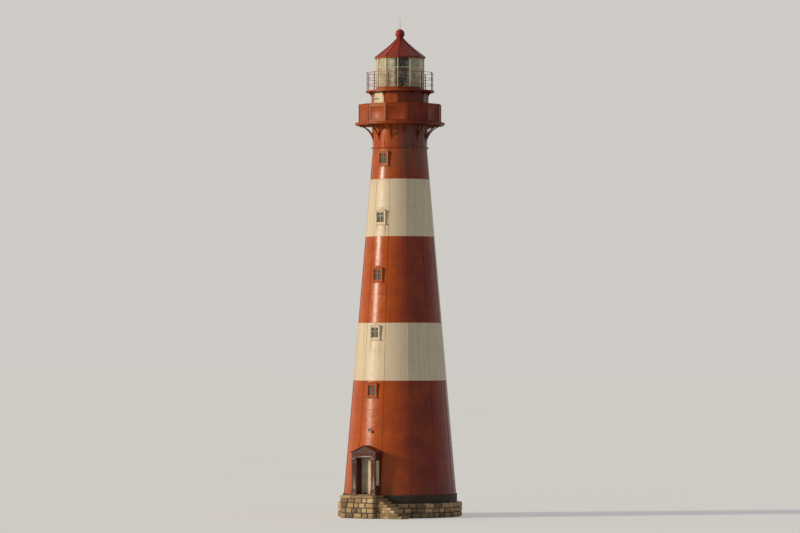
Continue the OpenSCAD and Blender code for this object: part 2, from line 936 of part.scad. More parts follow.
module lantern_rail() {
    middle = flat_r(rail_r);
    rise = (rail_h - rail_bar_w / 2) / rail_bar_count;
    color("dimgray") {
        at_corners(bay / 2)
            translate([rail_r - rail_post_w / 2, -rail_post_w / 2, lantern_z])
                cube([rail_post_w, rail_post_w, rail_h]);
        for (level = [1 : rail_bar_count])
            bay_bars(middle - rail_bar_w / 2, middle + rail_bar_w / 2, lantern_z + level * rise - rail_bar_w / 2,
                rail_bar_w, bay / 2, rail_post_w / 2 + seat_gap);
    }
}

// Lantern

module lantern_sill() {
    color("firebrick")
        bay_bars(flat_r(lantern_r) - lantern_sill_t, flat_r(lantern_r), lantern_z, lantern_sill_h - seat_gap);
}

module lantern_bars() {
    middle = flat_r(astragal_r);
    color("ivory") {
        at_corners()
            translate([lantern_r - astragal_w, -astragal_w / 2, glazing_z])
                cube([astragal_w, astragal_w, glazing_h - seat_gap]);
        for (i = [1 : transom_count])
            bay_bars(middle - transom_d / 2, middle + transom_d / 2, glazing_z + i * (pane_h + transom_h) - transom_h,
                transom_h - seat_gap, 0, astragal_w / 2 + seat_gap);
    }
}

module lantern_glass() {
    middle = flat_r(astragal_r);
    color("lightcyan")
        for (i = [0 : transom_count])
            bay_bars(middle - glass_t / 2, middle + glass_t / 2, glazing_z + i * (pane_h + transom_h),
                pane_h - seat_gap, 0, astragal_w / 2 + seat_gap);
}

module lantern_cornice() {
    outer = flat_r(lantern_r + lantern_cornice_out);
    color("firebrick")
        bay_bars(flat_r(lantern_r) - lantern_sill_t, outer, cornice_z, lantern_cornice_h - seat_gap);
}

// Lens: a middle belt with ring prisms above and below it
module lens() {
    half = [for (i = [0 : lens_prism_count - 1], edge = [0, 1]) [
        edge == 0 ? prism_r(i - 1) + prism_out : prism_r(i) - prism_in,
        lens_belt_h / 2 + (i + edge) * lens_prism_h
    ]];
    upper = concat([[lens_r, lens_belt_h / 2]], half, [[0, lens_h / 2]]);
    lower = [for (i = [len(upper) - 1 : -1 : 0]) [upper[i][0], -upper[i][1]]];
    color("lightgreen")
        translate([0, 0, lens_z])
            rotate_extrude($fn = small_fn)
                polygon(concat(lower, upper));
}

module lens_pedestal() {
    top = lens_z - lens_h / 2 - seat_gap - lantern_z;
    table_r = prism_r(lens_prism_count - 1);
    color("darkolivegreen")
        translate([0, 0, lantern_z])
            rotate_extrude($fn = small_fn)
                polygon([
                    [0, 0], [pedestal_foot_r, 0], [pedestal_foot_r, pedestal_foot_h], [pedestal_r, pedestal_foot_h],
                    [pedestal_r, top - pedestal_table_h], [table_r, top - pedestal_table_h], [table_r, top], [0, top]
                ]);
}

// Roof

// Wedge of one bay, held back from its corner planes by gap
module bay_wedge(gap) {
    far = 2 * eaves_r;
    translate([0, 0, roof_z - over])
        linear_extrude(roof_h + 2 * over)
            polygon([[gap / sin(bay / 2), 0], [far, -bay_half(far, gap)], [far, bay_half(far, gap)]]);
}

// Sloping sheet over one bay, raised out of the roof by rise
module roof_sheet(rise) {
    outer = [for (i = [0 : roof_steps])
        [flat_r(roof_r(i / roof_steps)) + rise, roof_z + (roof_h - seat_gap) * i / roof_steps]];
    inner = [for (i = [roof_steps : -1 : 0])
        [flat_r(roof_r(i / roof_steps)) - roof_level_t, outer[i][1]]];
    rotate([90, 0, 0])
        linear_extrude(2 * eaves_r, center = true)
            polygon(concat(outer, inner));
}

module roof() {
    color("firebrick")
        at_corners(bay / 2)
            intersection() {
                bay_wedge(plate_gap / 2);
                union() {
                    roof_sheet(0);
                    difference() {
                        roof_sheet(rib_out);
                        bay_wedge(rib_w / 2);
                    }
                }
            }
}

module ball_vent() {
    color("firebrick")
        difference() {
            union() {
                translate([0, 0, vent_z])
                    cylinder(h = ball_rise, r = vent_neck_r - rib_out, $fn = small_fn);
                translate([0, 0, ball_z])
                    sphere(r = ball_r, $fn = small_fn);
                translate([0, 0, vent_z])
                    cylinder(h = collar_h, r = vent_neck_r + rib_out, $fn = small_fn);
            }
            translate([0, 0, vent_z - ball_r])
                cylinder(h = ball_r, r = ball_r, $fn = small_fn);
        }
}

module lightning_rod() {
    low = ball_z + ball_r;
    color("dimgray")
        translate([0, 0, low])
            cylinder(h = rod_h, r1 = rod_r, r2 = rod_tip_r, $fn = small_fn);
}

plinth();
door_landing();
entrance_steps();
footing_course();
ground_floor();
base_wall_left();
base_wall_right();
base_wall_over_door();
base_wall_back();
red_course_low();
white_course_low();
red_course_mid();
white_course_high();
red_course_top();
storey_floors();
window_surrounds();
window_sashes();
window_glass();
portal_jambs();
portal_head();
door_threshold();
door_frame();
door_leaf();
door_lamp();
ledge_moulding();
neck_wall();
gallery_brackets();
gallery_deck();
parapet_posts();
parapet_panels();
parapet_handrail();
drum_wall();
gallery_door();
drum_brackets();
lantern_deck();
lantern_rail();
lantern_sill();
lantern_bars();
lantern_glass();
lens();
lens_pedestal();
lantern_cornice();
roof();
ball_vent();
lightning_rod();
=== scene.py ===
"""Finishes, stonework and fittings of a coastal lighthouse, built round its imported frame."""
import logging
import math
import random
from contextlib import contextmanager
from dataclasses import dataclass, field
from enum import Enum
from functools import cached_property
from typing import Callable, ClassVar, Iterable, Iterator

import bmesh
import bpy
from mathutils import Matrix, Vector


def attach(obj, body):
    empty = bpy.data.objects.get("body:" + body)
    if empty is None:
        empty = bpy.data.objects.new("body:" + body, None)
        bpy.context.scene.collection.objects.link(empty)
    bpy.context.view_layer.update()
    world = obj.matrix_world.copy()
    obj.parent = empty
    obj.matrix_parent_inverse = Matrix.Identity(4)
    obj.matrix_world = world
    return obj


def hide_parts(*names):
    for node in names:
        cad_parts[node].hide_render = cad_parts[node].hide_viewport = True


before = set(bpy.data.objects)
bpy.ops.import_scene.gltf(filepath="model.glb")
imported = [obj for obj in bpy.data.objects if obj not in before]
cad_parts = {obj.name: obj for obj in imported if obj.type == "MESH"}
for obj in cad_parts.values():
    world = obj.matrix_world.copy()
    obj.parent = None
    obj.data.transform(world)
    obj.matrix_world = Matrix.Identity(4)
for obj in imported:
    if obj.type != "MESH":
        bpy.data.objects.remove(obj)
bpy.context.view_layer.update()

LOG = logging.getLogger("lighthouse")
Colour = tuple[float, float, float]
Point = tuple[float, float, float]
Span = tuple[float, float]
Profile = tuple[Span, ...]
Holes = tuple[tuple[float, ...], tuple[float, ...]]
Test = Callable[[bmesh.types.BMFace], bool]

# Degrees round the tower from the X axis. Parts come in twelves, on the flats or at the corners.
BAY = 30
FLATS = range(0, 360, BAY)
CORNERS = range(BAY // 2, 360, BAY)
DOOR_SIDE = 270
GALLERY_DOOR_SIDE = -105
# The side that the key light reaches; paint facing it is drawn lighter and more orange, as painted
# light.
KEY_LIGHT_SIDE = -112.0

# Heights and radii in metres: plate joints, the edges of the white bands, windows and the shaft.
ROW_START, ROW = 8.88, 1.88
BAND_EDGES = tuple(ROW_START + rows * ROW for rows in (0, 2, 5, 7))
WINDOWS = (8.24, 12.00, 15.76, 19.52, 23.38)
FOOT_Z, FOOT_R, TAPER = 1.47, 3.685, 0.084257
LEDGE_Z = 24.02
DECK_Z = 25.76

# The entrance door: the Y of its two faces, its lower edge, and the X and Z of its knobs.
LEAF_FACES = (-3.5163, -3.4563)
LEAF_FOOT = 1.519
KNOB = (0.454, 2.579)

# Ways that the faces of a piece look. The entrance is at the front.
UP, OUT, IN, FRONT, BACK = (0, 0, 1), (1, 0, 0), (-1, 0, 0), (0, -1, 0), (0, 1, 0)

# Modelling: the cosine within which a face looks one way, the degrees of a sharp edge, and the
# sizes under which points are merged and faces are dropped.
LOOKS, SHARP, WELD, SLIVER = 0.9, 40, 1e-5, 1e-6

# A bolt's washer, head and crown, as shares of its radius and height.
WASHER, HEAD, CROWN = (1.75, 0.3), (1.0, 1.3), (0.18, 0.12)


def spun(angle: float) -> Matrix:
    """Return a turn about the tower's axis, in degrees."""
    return Matrix.Rotation(math.radians(angle), 4, "Z")


def moved(x: float = 0.0, y: float = 0.0, z: float = 0.0) -> Matrix:
    """Return a shift."""
    return Matrix.Translation((x, y, z))


def tipped(angle: float, axis: str) -> Matrix:
    """Return a turn about an axis, in degrees."""
    return Matrix.Rotation(math.radians(angle), 4, axis)


def ring(angles: Iterable[float], x: float, y: float = 0.0, z: float = 0.0) -> list[Matrix]:
    """Return the same place at each of many angles round the tower."""
    return [spun(angle) @ moved(x, y, z) for angle in angles]


def around(radius: float, height: float, angle: float, lean: float = 0.0) -> Matrix:
    """Return a place round the tower, its own Y up and its Z out, tipped up by degrees."""
    return spun(angle) @ moved(radius, 0, height) @ tipped(90 - lean, "Y") @ tipped(90, "Z")


def toward(direction: Point, area: float = 0.0) -> Test:
    """Return a test for faces over an area that look in a direction."""
    way = Vector(direction)
    return lambda face: face.normal.dot(way) > LOOKS and face.calc_area() > area


def shaft_radius(height: float) -> float:
    """Return the outer radius of the shaft at a height."""
    return FOOT_R - TAPER * (height - FOOT_Z)


class Tint(Enum):
    """Colours in linear light: as applied, and where sun and salt have faded them; paints also take
    the faded colour as painted light on the side that the key light reaches.
    """

    RED = ((0.185, 0.010, 0.004), (0.56, 0.112, 0.004))
    WHITE = ((0.75, 0.66, 0.50), (0.64, 0.52, 0.35))
    CREAM = ((0.76, 0.67, 0.46), (0.62, 0.52, 0.34))
    LIME = ((0.78, 0.76, 0.70), (0.62, 0.58, 0.48))
    DOOR = ((0.74, 0.62, 0.43), (0.56, 0.44, 0.28))
    DEEP = ((0.135, 0.008, 0.004), (0.50, 0.100, 0.006))
    ROOF = ((0.16, 0.007, 0.004), (0.40, 0.040, 0.010))
    OXIDE = ((0.14, 0.030, 0.020), (0.20, 0.070, 0.045))
    MAROON = ((0.055, 0.011, 0.008), (0.105, 0.030, 0.020))
    TAR = ((0.020, 0.017, 0.016), (0.055, 0.045, 0.036))
    IRON = ((0.050, 0.042, 0.038), (0.110, 0.090, 0.075))
    RUST = ((0.19, 0.058, 0.020), (0.30, 0.120, 0.045))
    LICHEN = ((0.34, 0.20, 0.045), (0.36, 0.33, 0.24))
    MORTAR = ((0.050, 0.040, 0.030), (0.150, 0.118, 0.082))
    BRONZE = ((0.16, 0.085, 0.035), (0.50, 0.32, 0.13))
    KNOBS = ((0.22, 0.12, 0.05), (0.52, 0.34, 0.14))
    MILK = ((0.78, 0.76, 0.68), (0.50, 0.45, 0.34))
    PRISM = ((0.56, 0.72, 0.58), (0.78, 0.88, 0.76))
    STUDIO = ((0.80, 0.79, 0.77), (0.84, 0.83, 0.81))

    @property
    def fresh(self) -> Colour:
        """Return the colour as applied."""
        return self.value[0]

    @property
    def faded(self) -> Colour:
        """Return the faded colour, which paint also takes as painted light on the side that the key
        light reaches.
        """
        return self.value[1]


class Dirt(Enum):
    """Colours of dirt and wear in linear light."""

    SOOT = (0.42, 0.33, 0.27)
    CAULK = (0.26, 0.15, 0.10)
    # Dark grey grime, laid on the side away from the key light: partly painted shade.
    GRIME_AND_SHADE = (0.115, 0.080, 0.066)
    SPLASH = (0.10, 0.065, 0.040)
    DUST = (0.55, 0.46, 0.36)
    DAMP = (0.060, 0.055, 0.032)
    DRIPS = (0.36, 0.25, 0.16)
    MUD = (0.13, 0.095, 0.055)
    BARE_WOOD = (0.16, 0.105, 0.060)
    BARE_IRON = (0.17, 0.155, 0.14)
    PATINA = (0.12, 0.22, 0.15)
    CLEAN_GLASS = (0.10, 0.12, 0.105)
    SALT = (0.82, 0.75, 0.54)


class Body(Enum):
    """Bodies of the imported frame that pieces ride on."""

    TOWER = "tower"
    DOOR = "entrance_door"


class Slot(Enum):
    """Names of material slots."""

    STONE = "stone"
    TAR = "tar_black"
    RED = "red_paint"
    CREAM = "cream_paint"
    DOOR = "door_paint"
    ROOF = "roof_paint"
    IRON = "rail_iron"
    FLOOR = "iron_floor"
    BRONZE = "bronze"


class Val:
    """An output in a material, combined with Python's operators."""

    def __init__(self, graph: "Graph", socket: bpy.types.NodeSocket) -> None:
        """Keep the graph and the socket."""
        self.graph = graph
        self.socket = socket

    def math(self, operation: str, *values: "Val | float") -> "Val":
        """Return a Math node's result of this value and others."""
        inputs = dict(enumerate((self, *values)))
        return self.graph.add("ShaderNodeMath", {"operation": operation}, inputs)

    def under(self, operation: str, value: float) -> "Val":
        """Return a Math node's result of a number and this value, in that order."""
        return self.graph.add("ShaderNodeMath", {"operation": operation}, {0: value, 1: self})

    def __add__(self, other: "Val | float") -> "Val":
        """Return the sum."""
        return self.math("ADD", other)

    def __radd__(self, other: float) -> "Val":
        """Return the sum."""
        return self.under("ADD", other)

    def __sub__(self, other: "Val | float") -> "Val":
        """Return the difference."""
        return self.math("SUBTRACT", other)

    def __rsub__(self, other: float) -> "Val":
        """Return the number less this value."""
        return self.under("SUBTRACT", other)

    def __mul__(self, other: "Val | float") -> "Val":
        """Return the product."""
        return self.math("MULTIPLY", other)

    def __truediv__(self, other: "Val | float") -> "Val":
        """Return the quotient."""
        return self.math("DIVIDE", other)

    def smooth(self, low: float, high: float) -> "Val":
        """Return a soft step from 0 at low to 1 at high."""
        ends = {"Value": self, "From Min": low, "From Max": high}
        return self.graph.add("ShaderNodeMapRange", {"interpolation_type": "SMOOTHSTEP"}, ends)

    def near(self, value: float, width: float) -> "Val":
        """Return 1 at a value, falling to 0 at a width from it."""
        return 1 - (self - value).math("ABSOLUTE").smooth(0.3 * width, width)


class Graph:
    """The nodes of one material, or of the world."""

    def __init__(self, owner: bpy.types.Material | bpy.types.World) -> None:
        """Empty the owner's nodes.

        Args:
            owner: What the nodes belong to.
        """
        self.owner = owner
        owner.use_nodes = True
        self.tree = owner.node_tree
        self.tree.nodes.clear()

    @cached_property
    def place(self) -> Val:
        """Return places in the object's own coordinates."""
        return self.add("ShaderNodeTexCoord", out="Object")

    @cached_property
    def x(self) -> Val:
        """Return the X of each place."""
        return self.add("ShaderNodeSeparateXYZ", None, {0: self.place}, "X")

    @cached_property
    def y(self) -> Val:
        """Return the Y of each place."""
        return self.add("ShaderNodeSeparateXYZ", None, {0: self.place}, "Y")

    @cached_property
    def z(self) -> Val:
        """Return the height of each place."""
        return self.add("ShaderNodeSeparateXYZ", None, {0: self.place}, "Z")

    @cached_property
    def outward(self) -> Val:
        """Return the direction of each place from the tower's axis."""
        return self.vector("NORMALIZE", self.vector("MULTIPLY", self.place, (1, 1, 0)))

    def add(self, kind: str, settings: dict | None = None, sockets: dict | None = None,
            out: str | int = 0) -> Val:
        """Add a node of any type.

        Args:
            kind: The node's type.
            settings: The node's own options.
            sockets: Values or links of its inputs, by name or number.
            out: The output that is wanted.

        Returns:
            The wanted output.
        """
        node = self.tree.nodes.new(kind)
        for key, value in (settings or {}).items():
            setattr(node, key, value)
        for key, value in (sockets or {}).items():
            socket = node.inputs[key]
            if isinstance(value, Val):
                self.tree.links.new(value.socket, socket)
            elif socket.type == "RGBA":
                socket.default_value = (*value, 1.0)
            else:
                socket.default_value = value
        return Val(self, node.outputs[out])

    def vector(self, operation: str, first: Val, second: Val | Point = (0, 0, 0)) -> Val:
        """Return a Vector Math node's vector."""
        return self.add("ShaderNodeVectorMath", {"operation": operation}, {0: first, 1: second})

    def facing(self, angle: float) -> Val:
        """Return the cosine between each place's direction and an angle in degrees."""
        inputs = {0: self.outward, 1: spun(angle) @ Vector((1, 0, 0))}
        return self.add("ShaderNodeVectorMath", {"operation": "DOT_PRODUCT"}, inputs, "Value")

    def noise(self, place: Val, scale: float, detail: float = 4.0, rough: float = 0.55,
              shift: Point | None = None) -> Val:
        """Add fractal noise.

        Args:
            place: Where it is read.
            scale: How fine it is.
            detail: Number of its octaves.
            rough: How strong the fine octaves are.
            shift: How far it is moved, so that it differs from other noise.

        Returns:
            The noise, from 0 to 1.
        """
        if shift is not None:
            place = self.vector("ADD", place, shift)
        inputs = {"Vector": place, "Scale": scale, "Detail": detail, "Roughness": rough}
        return self.add("ShaderNodeTexNoise", None, inputs)

    def mix(self, share: Val | float, first: Val | Colour, second: Val | Colour | Dirt,
            blend: str = "MIX") -> Val:
        """Mix two colours.

        Args:
            share: How much of the second colour is used.
            first: The colour at 0.
            second: The colour at 1.
            blend: The way of mixing.

        Returns:
            The mixed colour.
        """
        over = second.value if isinstance(second, Dirt) else second
        inputs = {0: share, 6: first, 7: over}
        return self.add("ShaderNodeMix", {"data_type": "RGBA", "blend_type": blend}, inputs, 2)

    def ramp(self, share: Val, *stops: tuple[float, Colour]) -> Val:
        """Read a colour from stops.

        Args:
            share: Where it is read, from 0 to 1.
            stops: Place and colour of each stop.

        Returns:
            The colour.
        """
        colour = self.add("ShaderNodeValToRGB", None, {"Fac": share})
        marks = colour.socket.node.color_ramp.elements
        while len(marks) < len(stops):
            marks.new(0.5)
        for mark, (position, tone) in zip(marks, stops):
            mark.position, mark.color = position, (*tone, 1.0)
        return colour

    def tinted(self, share: Val, tint: Tint, low: float, high: float) -> Val:
        """Return a tint, as applied at low and faded at high."""
        return self.ramp(share, (low, tint.fresh), (high, tint.faded))

    def bump(self, height: Val) -> Val:
        """Return the normal of a surface raised by a height in metres."""
        return self.add("ShaderNodeBump", None, {"Height": height, "Distance": 1.0})

    def finish(self, **sockets: Val | float | Colour) -> None:
        """End in one Principled shader, whose inputs are given with underscores for spaces."""
        inputs = {key.replace("_", " "): value for key, value in sockets.items()}
        self.close(self.add("ShaderNodeBsdfPrincipled", None, inputs), "ShaderNodeOutputMaterial")

    def close(self, shader: Val, kind: str) -> None:
        """Link a shader to the surface of an output."""
        self.tree.links.new(shader.socket, self.tree.nodes.new(kind).inputs["Surface"])


@dataclass(frozen=True)
class Finish:
    """A surface finish, whose material is made once.

    Attributes:
        name: The material's name.
        made: Materials of the finishes used so far.
    """

    name: str
    made: ClassVar[dict["Finish", bpy.types.Material]] = {}

    def make(self, g: Graph) -> None:
        """Build the nodes of the material."""
        raise NotImplementedError

    def material(self) -> bpy.types.Material:
        """Make the material the first time it is asked for.

        Returns:
            The material.
        """
        if self not in Finish.made:
            graph = Graph(bpy.data.materials.new(self.name))
            self.make(graph)
            Finish.made[self] = graph.owner
        return Finish.made[self]


@dataclass(frozen=True)
class Enamel(Finish):
    """Thick oil paint on cast iron, with fading, rust runs, soot and salt, painted light on the
    side that the key light reaches and painted shade on the side away from it.

    Attributes:
        tint: The paint's colour.
        banded: Whether the tower's white bands are painted over it.
        turned: Whether the surface goes round the tower's axis.
        plated: Whether it covers the tower's rows of plates.
        rust: How much rust shows, from 0 to 1.
        gloss: The paint's roughness where it is sound.
        detail: Size of the small pattern, 1 on the wall and more on small parts.
        pale_flat: Degrees round the tower of a flat that is painted cream.
        sun_fade_and_painted_light: How much more the paint fades, and is drawn lighter and more
            orange as painted light, on the side that the key light reaches.
        soot: Share of soot that the rain draws down.
        caulk: How much darker the joints between plates are.
        grime_and_shade: Share of dark grime under the gallery, kept to the side away from the key
            light, so partly painted shade.
        splash: Share of splashed dirt at the foot.
        matt: How much rougher the white bands are than the red.
        splash_z: Heights between which splashed dirt ends.
        weather_z: Heights between which rust grows stronger.
        heavy_z: Heights between which the rust under the gallery sets in.
        grime_and_shade_z: Heights between which the grime and painted shade under the gallery set
            in.
        sill: Sideways place of a window sill's ends, and its drop from the window's middle.
        stain: Width and length of the stain under a sill's end.
    """

    tint: Tint = Tint.RED
    banded: bool = False
    turned: bool = True
    plated: bool = False
    rust: float = 0.5
    gloss: float = 0.22
    detail: float = 1.0
    pale_flat: float | None = None
    sun_fade_and_painted_light: float = 0.56
    soot: float = 0.30
    caulk: float = 0.28
    grime_and_shade: float = 0.85
    splash: float = 0.55
    matt: float = 0.16
    splash_z: Span = (1.2, 3.2)
    weather_z: Span = (17.0, 25.0)
    heavy_z: Span = (21.2, 23.6)
    grime_and_shade_z: Span = (21.9, 23.6)
    sill: Span = (0.37, 0.50)
    stain: Span = (0.16, 1.5)

    def skin(self, g: Graph) -> Val:
        """Find places on the surface, with the taper of the tower taken out.

        Args:
            g: The material's graph.

        Returns:
            The places.
        """
        if not self.turned:
            return g.place
        level = g.vector("MULTIPLY", g.outward, (3, 3, 0))
        return g.vector("ADD", level, g.vector("MULTIPLY", g.place, (0, 0, 1)))

    def sill_runs(self, g: Graph) -> Val:
        """Stain the wall below the corners of the window sills.

        Args:
            g: The material's graph.

        Returns:
            The share of stain.
        """
        (across, down), (width, length) = self.sill, self.stain
        corner = g.x.math("ABSOLUTE").near(across, width) * (1 - g.y.smooth(-1.0, 0.0))
        drips = g.noise(g.vector("MULTIPLY", g.place, (22, 1, 0.9)), 1.0, 4).smooth(0.40, 0.62)
        falls = [(height - down - g.z) / length for height in WINDOWS]
        stains = sum(fall.smooth(0.0, 0.04) * (1 - fall.smooth(0.08, 1.0)) for fall in falls)
        return stains * corner * drips

    def seams(self, g: Graph) -> tuple[Val, Val]:
        """Find the joints between plates.

        Args:
            g: The material's graph.

        Returns:
            The joints, and the stretch under each level joint where water runs.
        """
        row = ((g.z - ROW_START) / ROW).math("FRACT")
        level = row.near(0, 0.012) + row.near(1, 0.012)
        turn = (g.y.math("ARCTAN2", g.x) / math.radians(BAY)).math("FRACT").near(0.5, 0.012)
        return level.math("MAXIMUM", turn), row.smooth(0.30, 1.0)

    def rusted(self, g: Graph, skin: Val, falling: Val, wet: Val | float) -> tuple[Val, Val]:
        """Let rust run from the joints, and break out in spots.

        Args:
            g: The material's graph.
            skin: Places on the surface.
            falling: The same places, drawn out downwards.
            wet: Where water runs.

        Returns:
            The share of rust, and its spots alone.
        """
        runs = g.noise(falling, 1.1 * self.detail, 6, 0.62).smooth(0.55, 0.72)
        patch = g.noise(skin, 0.55 * self.detail, 3, shift=(7, 3, 11)).smooth(0.44, 0.62)
        spots = g.noise(skin, 9 * self.detail, 4, 0.6).smooth(0.64, 0.72) * patch
        rust = (runs * patch * wet).math("MAXIMUM", spots * 0.75)
        if self.plated:
            heavy = g.noise(falling, 1.7, 6, 0.62, (2, 31, 4)).smooth(0.46, 0.64)
            rust = rust.math("MAXIMUM", heavy * g.z.smooth(*self.heavy_z) * 0.9)
            rust = rust.math("MAXIMUM", self.sill_runs(g) * 0.9)
        return rust * ((0.75 + g.z.smooth(*self.weather_z) * 0.6) * self.rust), spots

    def other_paints(self, g: Graph) -> dict[Tint, Val]:
        """Find where other paints cover this one.

        Args:
            g: The material's graph.

        Returns:
            The share of each other paint, in the order of painting.
        """
        over = {}
        if self.banded:
            edges = [g.z.smooth(edge - 0.004, edge + 0.004) for edge in BAND_EDGES]
            over[Tint.WHITE] = edges[0] - edges[1] + edges[2] - edges[3]
        if self.pale_flat is not None:
            over[Tint.CREAM] = g.facing(self.pale_flat).smooth(0.9650, 0.9662)
        if self.plated:
            depth = (g.x * g.x + g.y * g.y).math("SQRT") - (FOOT_R - (g.z - FOOT_Z) * TAPER)
            over[Tint.LIME] = 1 - depth.smooth(-0.020, -0.012)
        return over

    def make(self, g: Graph) -> None:
        """Build the paint.

        Args:
            g: The material's graph.
        """
        skin = self.skin(g)
        falling = g.vector("MULTIPLY", skin, (5, 5, 0.30))
        tone = g.noise(skin, 0.8, 5).smooth(0.36, 0.70)
        chalk = g.noise(skin, 2.6 * self.detail, 6, 0.65).smooth(0.46, 0.74)
        soot = g.noise(falling, 0.8 * self.detail, 5, shift=(19, 5, 2)).smooth(0.48, 0.80)
        # Painted light: paint facing the key light is mixed toward its faded colour, so that side
        # is drawn lighter and more orange and the far side darker.
        key_lit_side = g.facing(KEY_LIGHT_SIDE).smooth(0.10, 1.0)
        joint, wet = self.seams(g) if self.plated else (None, 0.6)
        rust, spots = self.rusted(g, skin, falling, wet)
        over = self.other_paints(g)
        fresh, faded = self.tint.value
        for tint, share in over.items():
            fresh, faded = g.mix(share, fresh, tint.fresh), g.mix(share, faded, tint.faded)
        if Tint.LIME in over:
            rust = rust * (1 - over[Tint.LIME] * 0.7)
        colour = g.mix(tone * 0.18 + chalk * 0.18 + key_lit_side * self.sun_fade_and_painted_light, fresh, faded)
        colour = g.mix(soot * self.soot, colour, Dirt.SOOT, "MULTIPLY")
        if joint is not None:
            colour = g.mix(joint * self.caulk, colour, Dirt.CAULK, "MULTIPLY")
        if self.turned:
            # Grime streaks under the gallery, kept off the side that the key light reaches: partly
            # real grime, partly painted shade on the far side.
            grime_and_shade = g.noise(falling, 1.3, 6, 0.6, (23, 9, 6)).smooth(0.40, 0.62)
            grime_and_shade = grime_and_shade * g.z.smooth(*self.grime_and_shade_z) * (1 - key_lit_side)
            colour = g.mix(grime_and_shade * self.grime_and_shade, colour, Dirt.GRIME_AND_SHADE)
        splash = (1 - g.z.smooth(*self.splash_z)) * g.noise(skin, 3.4, 5).smooth(0.38, 0.66)
        colour = g.mix(splash * self.splash, colour, Dirt.SPLASH)
        rusty = g.tinted(g.noise(skin, 16 * self.detail, 5), Tint.RUST, 0.35, 0.68)
        rough = chalk * 0.12 + self.gloss + rust * 0.45 + splash * 0.20
        if Tint.WHITE in over:
            rough = rough + over[Tint.WHITE] * self.matt
        ripple = g.noise(skin, 26 * self.detail, 3) * 0.0009 + g.noise(skin, 1.6, 2) * 0.005
        g.finish(Base_Color=g.mix(rust, colour, rusty), Roughness=rough.math("MINIMUM", 0.95),
                 Normal=g.bump(ripple + spots * (0.0012 * self.rust)), Specular_IOR_Level=0.28)


@dataclass(frozen=True)
class Stone(Finish):
    """Quarried blocks, each of its own colour, with grains, lichen and damp feet.

    Attributes:
        dressed: Whether the blocks are smooth worked slabs.
        whole: Whether it is one floor, with no blocks of their own colour.
        tones: Colours from its darkest block to its palest, and the place of each.
    """

    dressed: bool = False
    whole: bool = False
    tones: tuple[tuple[float, Colour], ...] = (
        (0.16, (0.125, 0.092, 0.060)), (0.38, (0.29, 0.205, 0.115)),
        (0.60, (0.46, 0.325, 0.165)), (0.86, (0.58, 0.45, 0.27)))

    def make(self, g: Graph) -> None:
        """Build the stone.

        Args:
            g: The material's graph.
        """
        if self.whole:
            tint = g.noise(g.place, 0.9, 3)
        else:
            tint = g.add("ShaderNodeAttribute", {"attribute_name": "tint"}, out="Fac")
        veins = g.noise(g.place, 3.2, 8, 0.68)
        grain = g.noise(g.place, 42, 4, 0.7)
        base = g.ramp(tint * 0.65 + veins * 0.45, *self.tones)
        colour = g.mix(grain.smooth(0.35, 0.75) * 0.5, base, Dirt.DUST, "OVERLAY")
        lichen = g.noise(g.place, 2.4, 6, 0.7, (3, 8, 1)).smooth(0.58, 0.66)
        colour = g.mix(lichen * 0.55, colour, g.tinted(grain, Tint.LICHEN, 0.4, 0.6))
        damp = (1 - g.z.smooth(0.02, 0.55)) * g.noise(g.place, 2.0, 4).smooth(0.30, 0.62)
        depth = 0.35 if self.dressed else 1.0
        height = g.noise(g.place, 9, 6, 0.62) * (0.016 * depth) + grain * (0.0022 * depth)
        g.finish(Base_Color=g.mix(damp * 0.6, colour, Dirt.DAMP), Roughness=0.80 + grain * 0.18,
                 Normal=g.bump(height))


@dataclass(frozen=True)
class Mortar(Finish):
    """Dark weathered lime mortar in deep joints."""

    def make(self, g: Graph) -> None:
        """Build the mortar.

        Args:
            g: The material's graph.
        """
        grit = g.noise(g.place, 60, 5, 0.7)
        colour = g.tinted(g.noise(g.place, 4, 6) * 0.6 + grit * 0.4, Tint.MORTAR, 0.36, 0.62)
        g.finish(Base_Color=colour, Roughness=0.95, Normal=g.bump(grit * 0.006))


@dataclass(frozen=True)
class TreadPlate(Finish):
    """Painted floor plate with a raised lozenge pattern, worn to bare iron on top.

    Attributes:
        tint: The paint's colour.
        pattern: How fine the lozenges are.
    """

    tint: Tint = Tint.OXIDE
    pattern: float = 18

    def make(self, g: Graph) -> None:
        """Build the plate.

        Args:
            g: The material's graph.
        """
        across, along = ((line * self.pattern).math("SINE").math("ABSOLUTE").smooth(0.75, 0.95)
                         for line in (g.x + g.y, g.x - g.y))
        raised = across.math("MAXIMUM", along)
        worn = g.noise(g.place, 1.6, 5).smooth(0.45, 0.65)
        rust = g.noise(g.place, 7, 6, 0.65).smooth(0.54, 0.68)
        colour = g.mix(worn * 0.6, self.tint.fresh, self.tint.faded)
        colour = g.mix(raised * worn * 0.7, colour, Dirt.BARE_IRON)
        g.finish(Base_Color=g.mix(rust * 0.55, colour, Tint.RUST.fresh),
                 Roughness=0.5 + rust * 0.4, Metallic=raised * worn * 0.6,
                 Normal=g.bump(raised * 0.0025 + rust * 0.0006))


@dataclass(frozen=True)
class Bronze(Finish):
    """Cast bronze with brown skin, green patina and rubbed bright places.

    Attributes:
        patina: How green it is, from 0 to 1.
    """

    patina: float = 0.5

    def make(self, g: Graph) -> None:
        """Build the metal.

        Args:
            g: The material's graph.
        """
        cloud = g.noise(g.place, 9, 6)
        green = g.noise(g.place, 22, 5, 0.65).smooth(0.50, 0.66) * self.patina
        colour = g.mix(green, g.tinted(cloud, Tint.BRONZE, 0.32, 0.68), Dirt.PATINA)
        g.finish(Base_Color=colour, Metallic=1 - green * 0.8,
                 Roughness=0.28 + cloud * 0.2 + green * 0.35,
                 Normal=g.bump(cloud * 0.0012 + green * 0.0006))


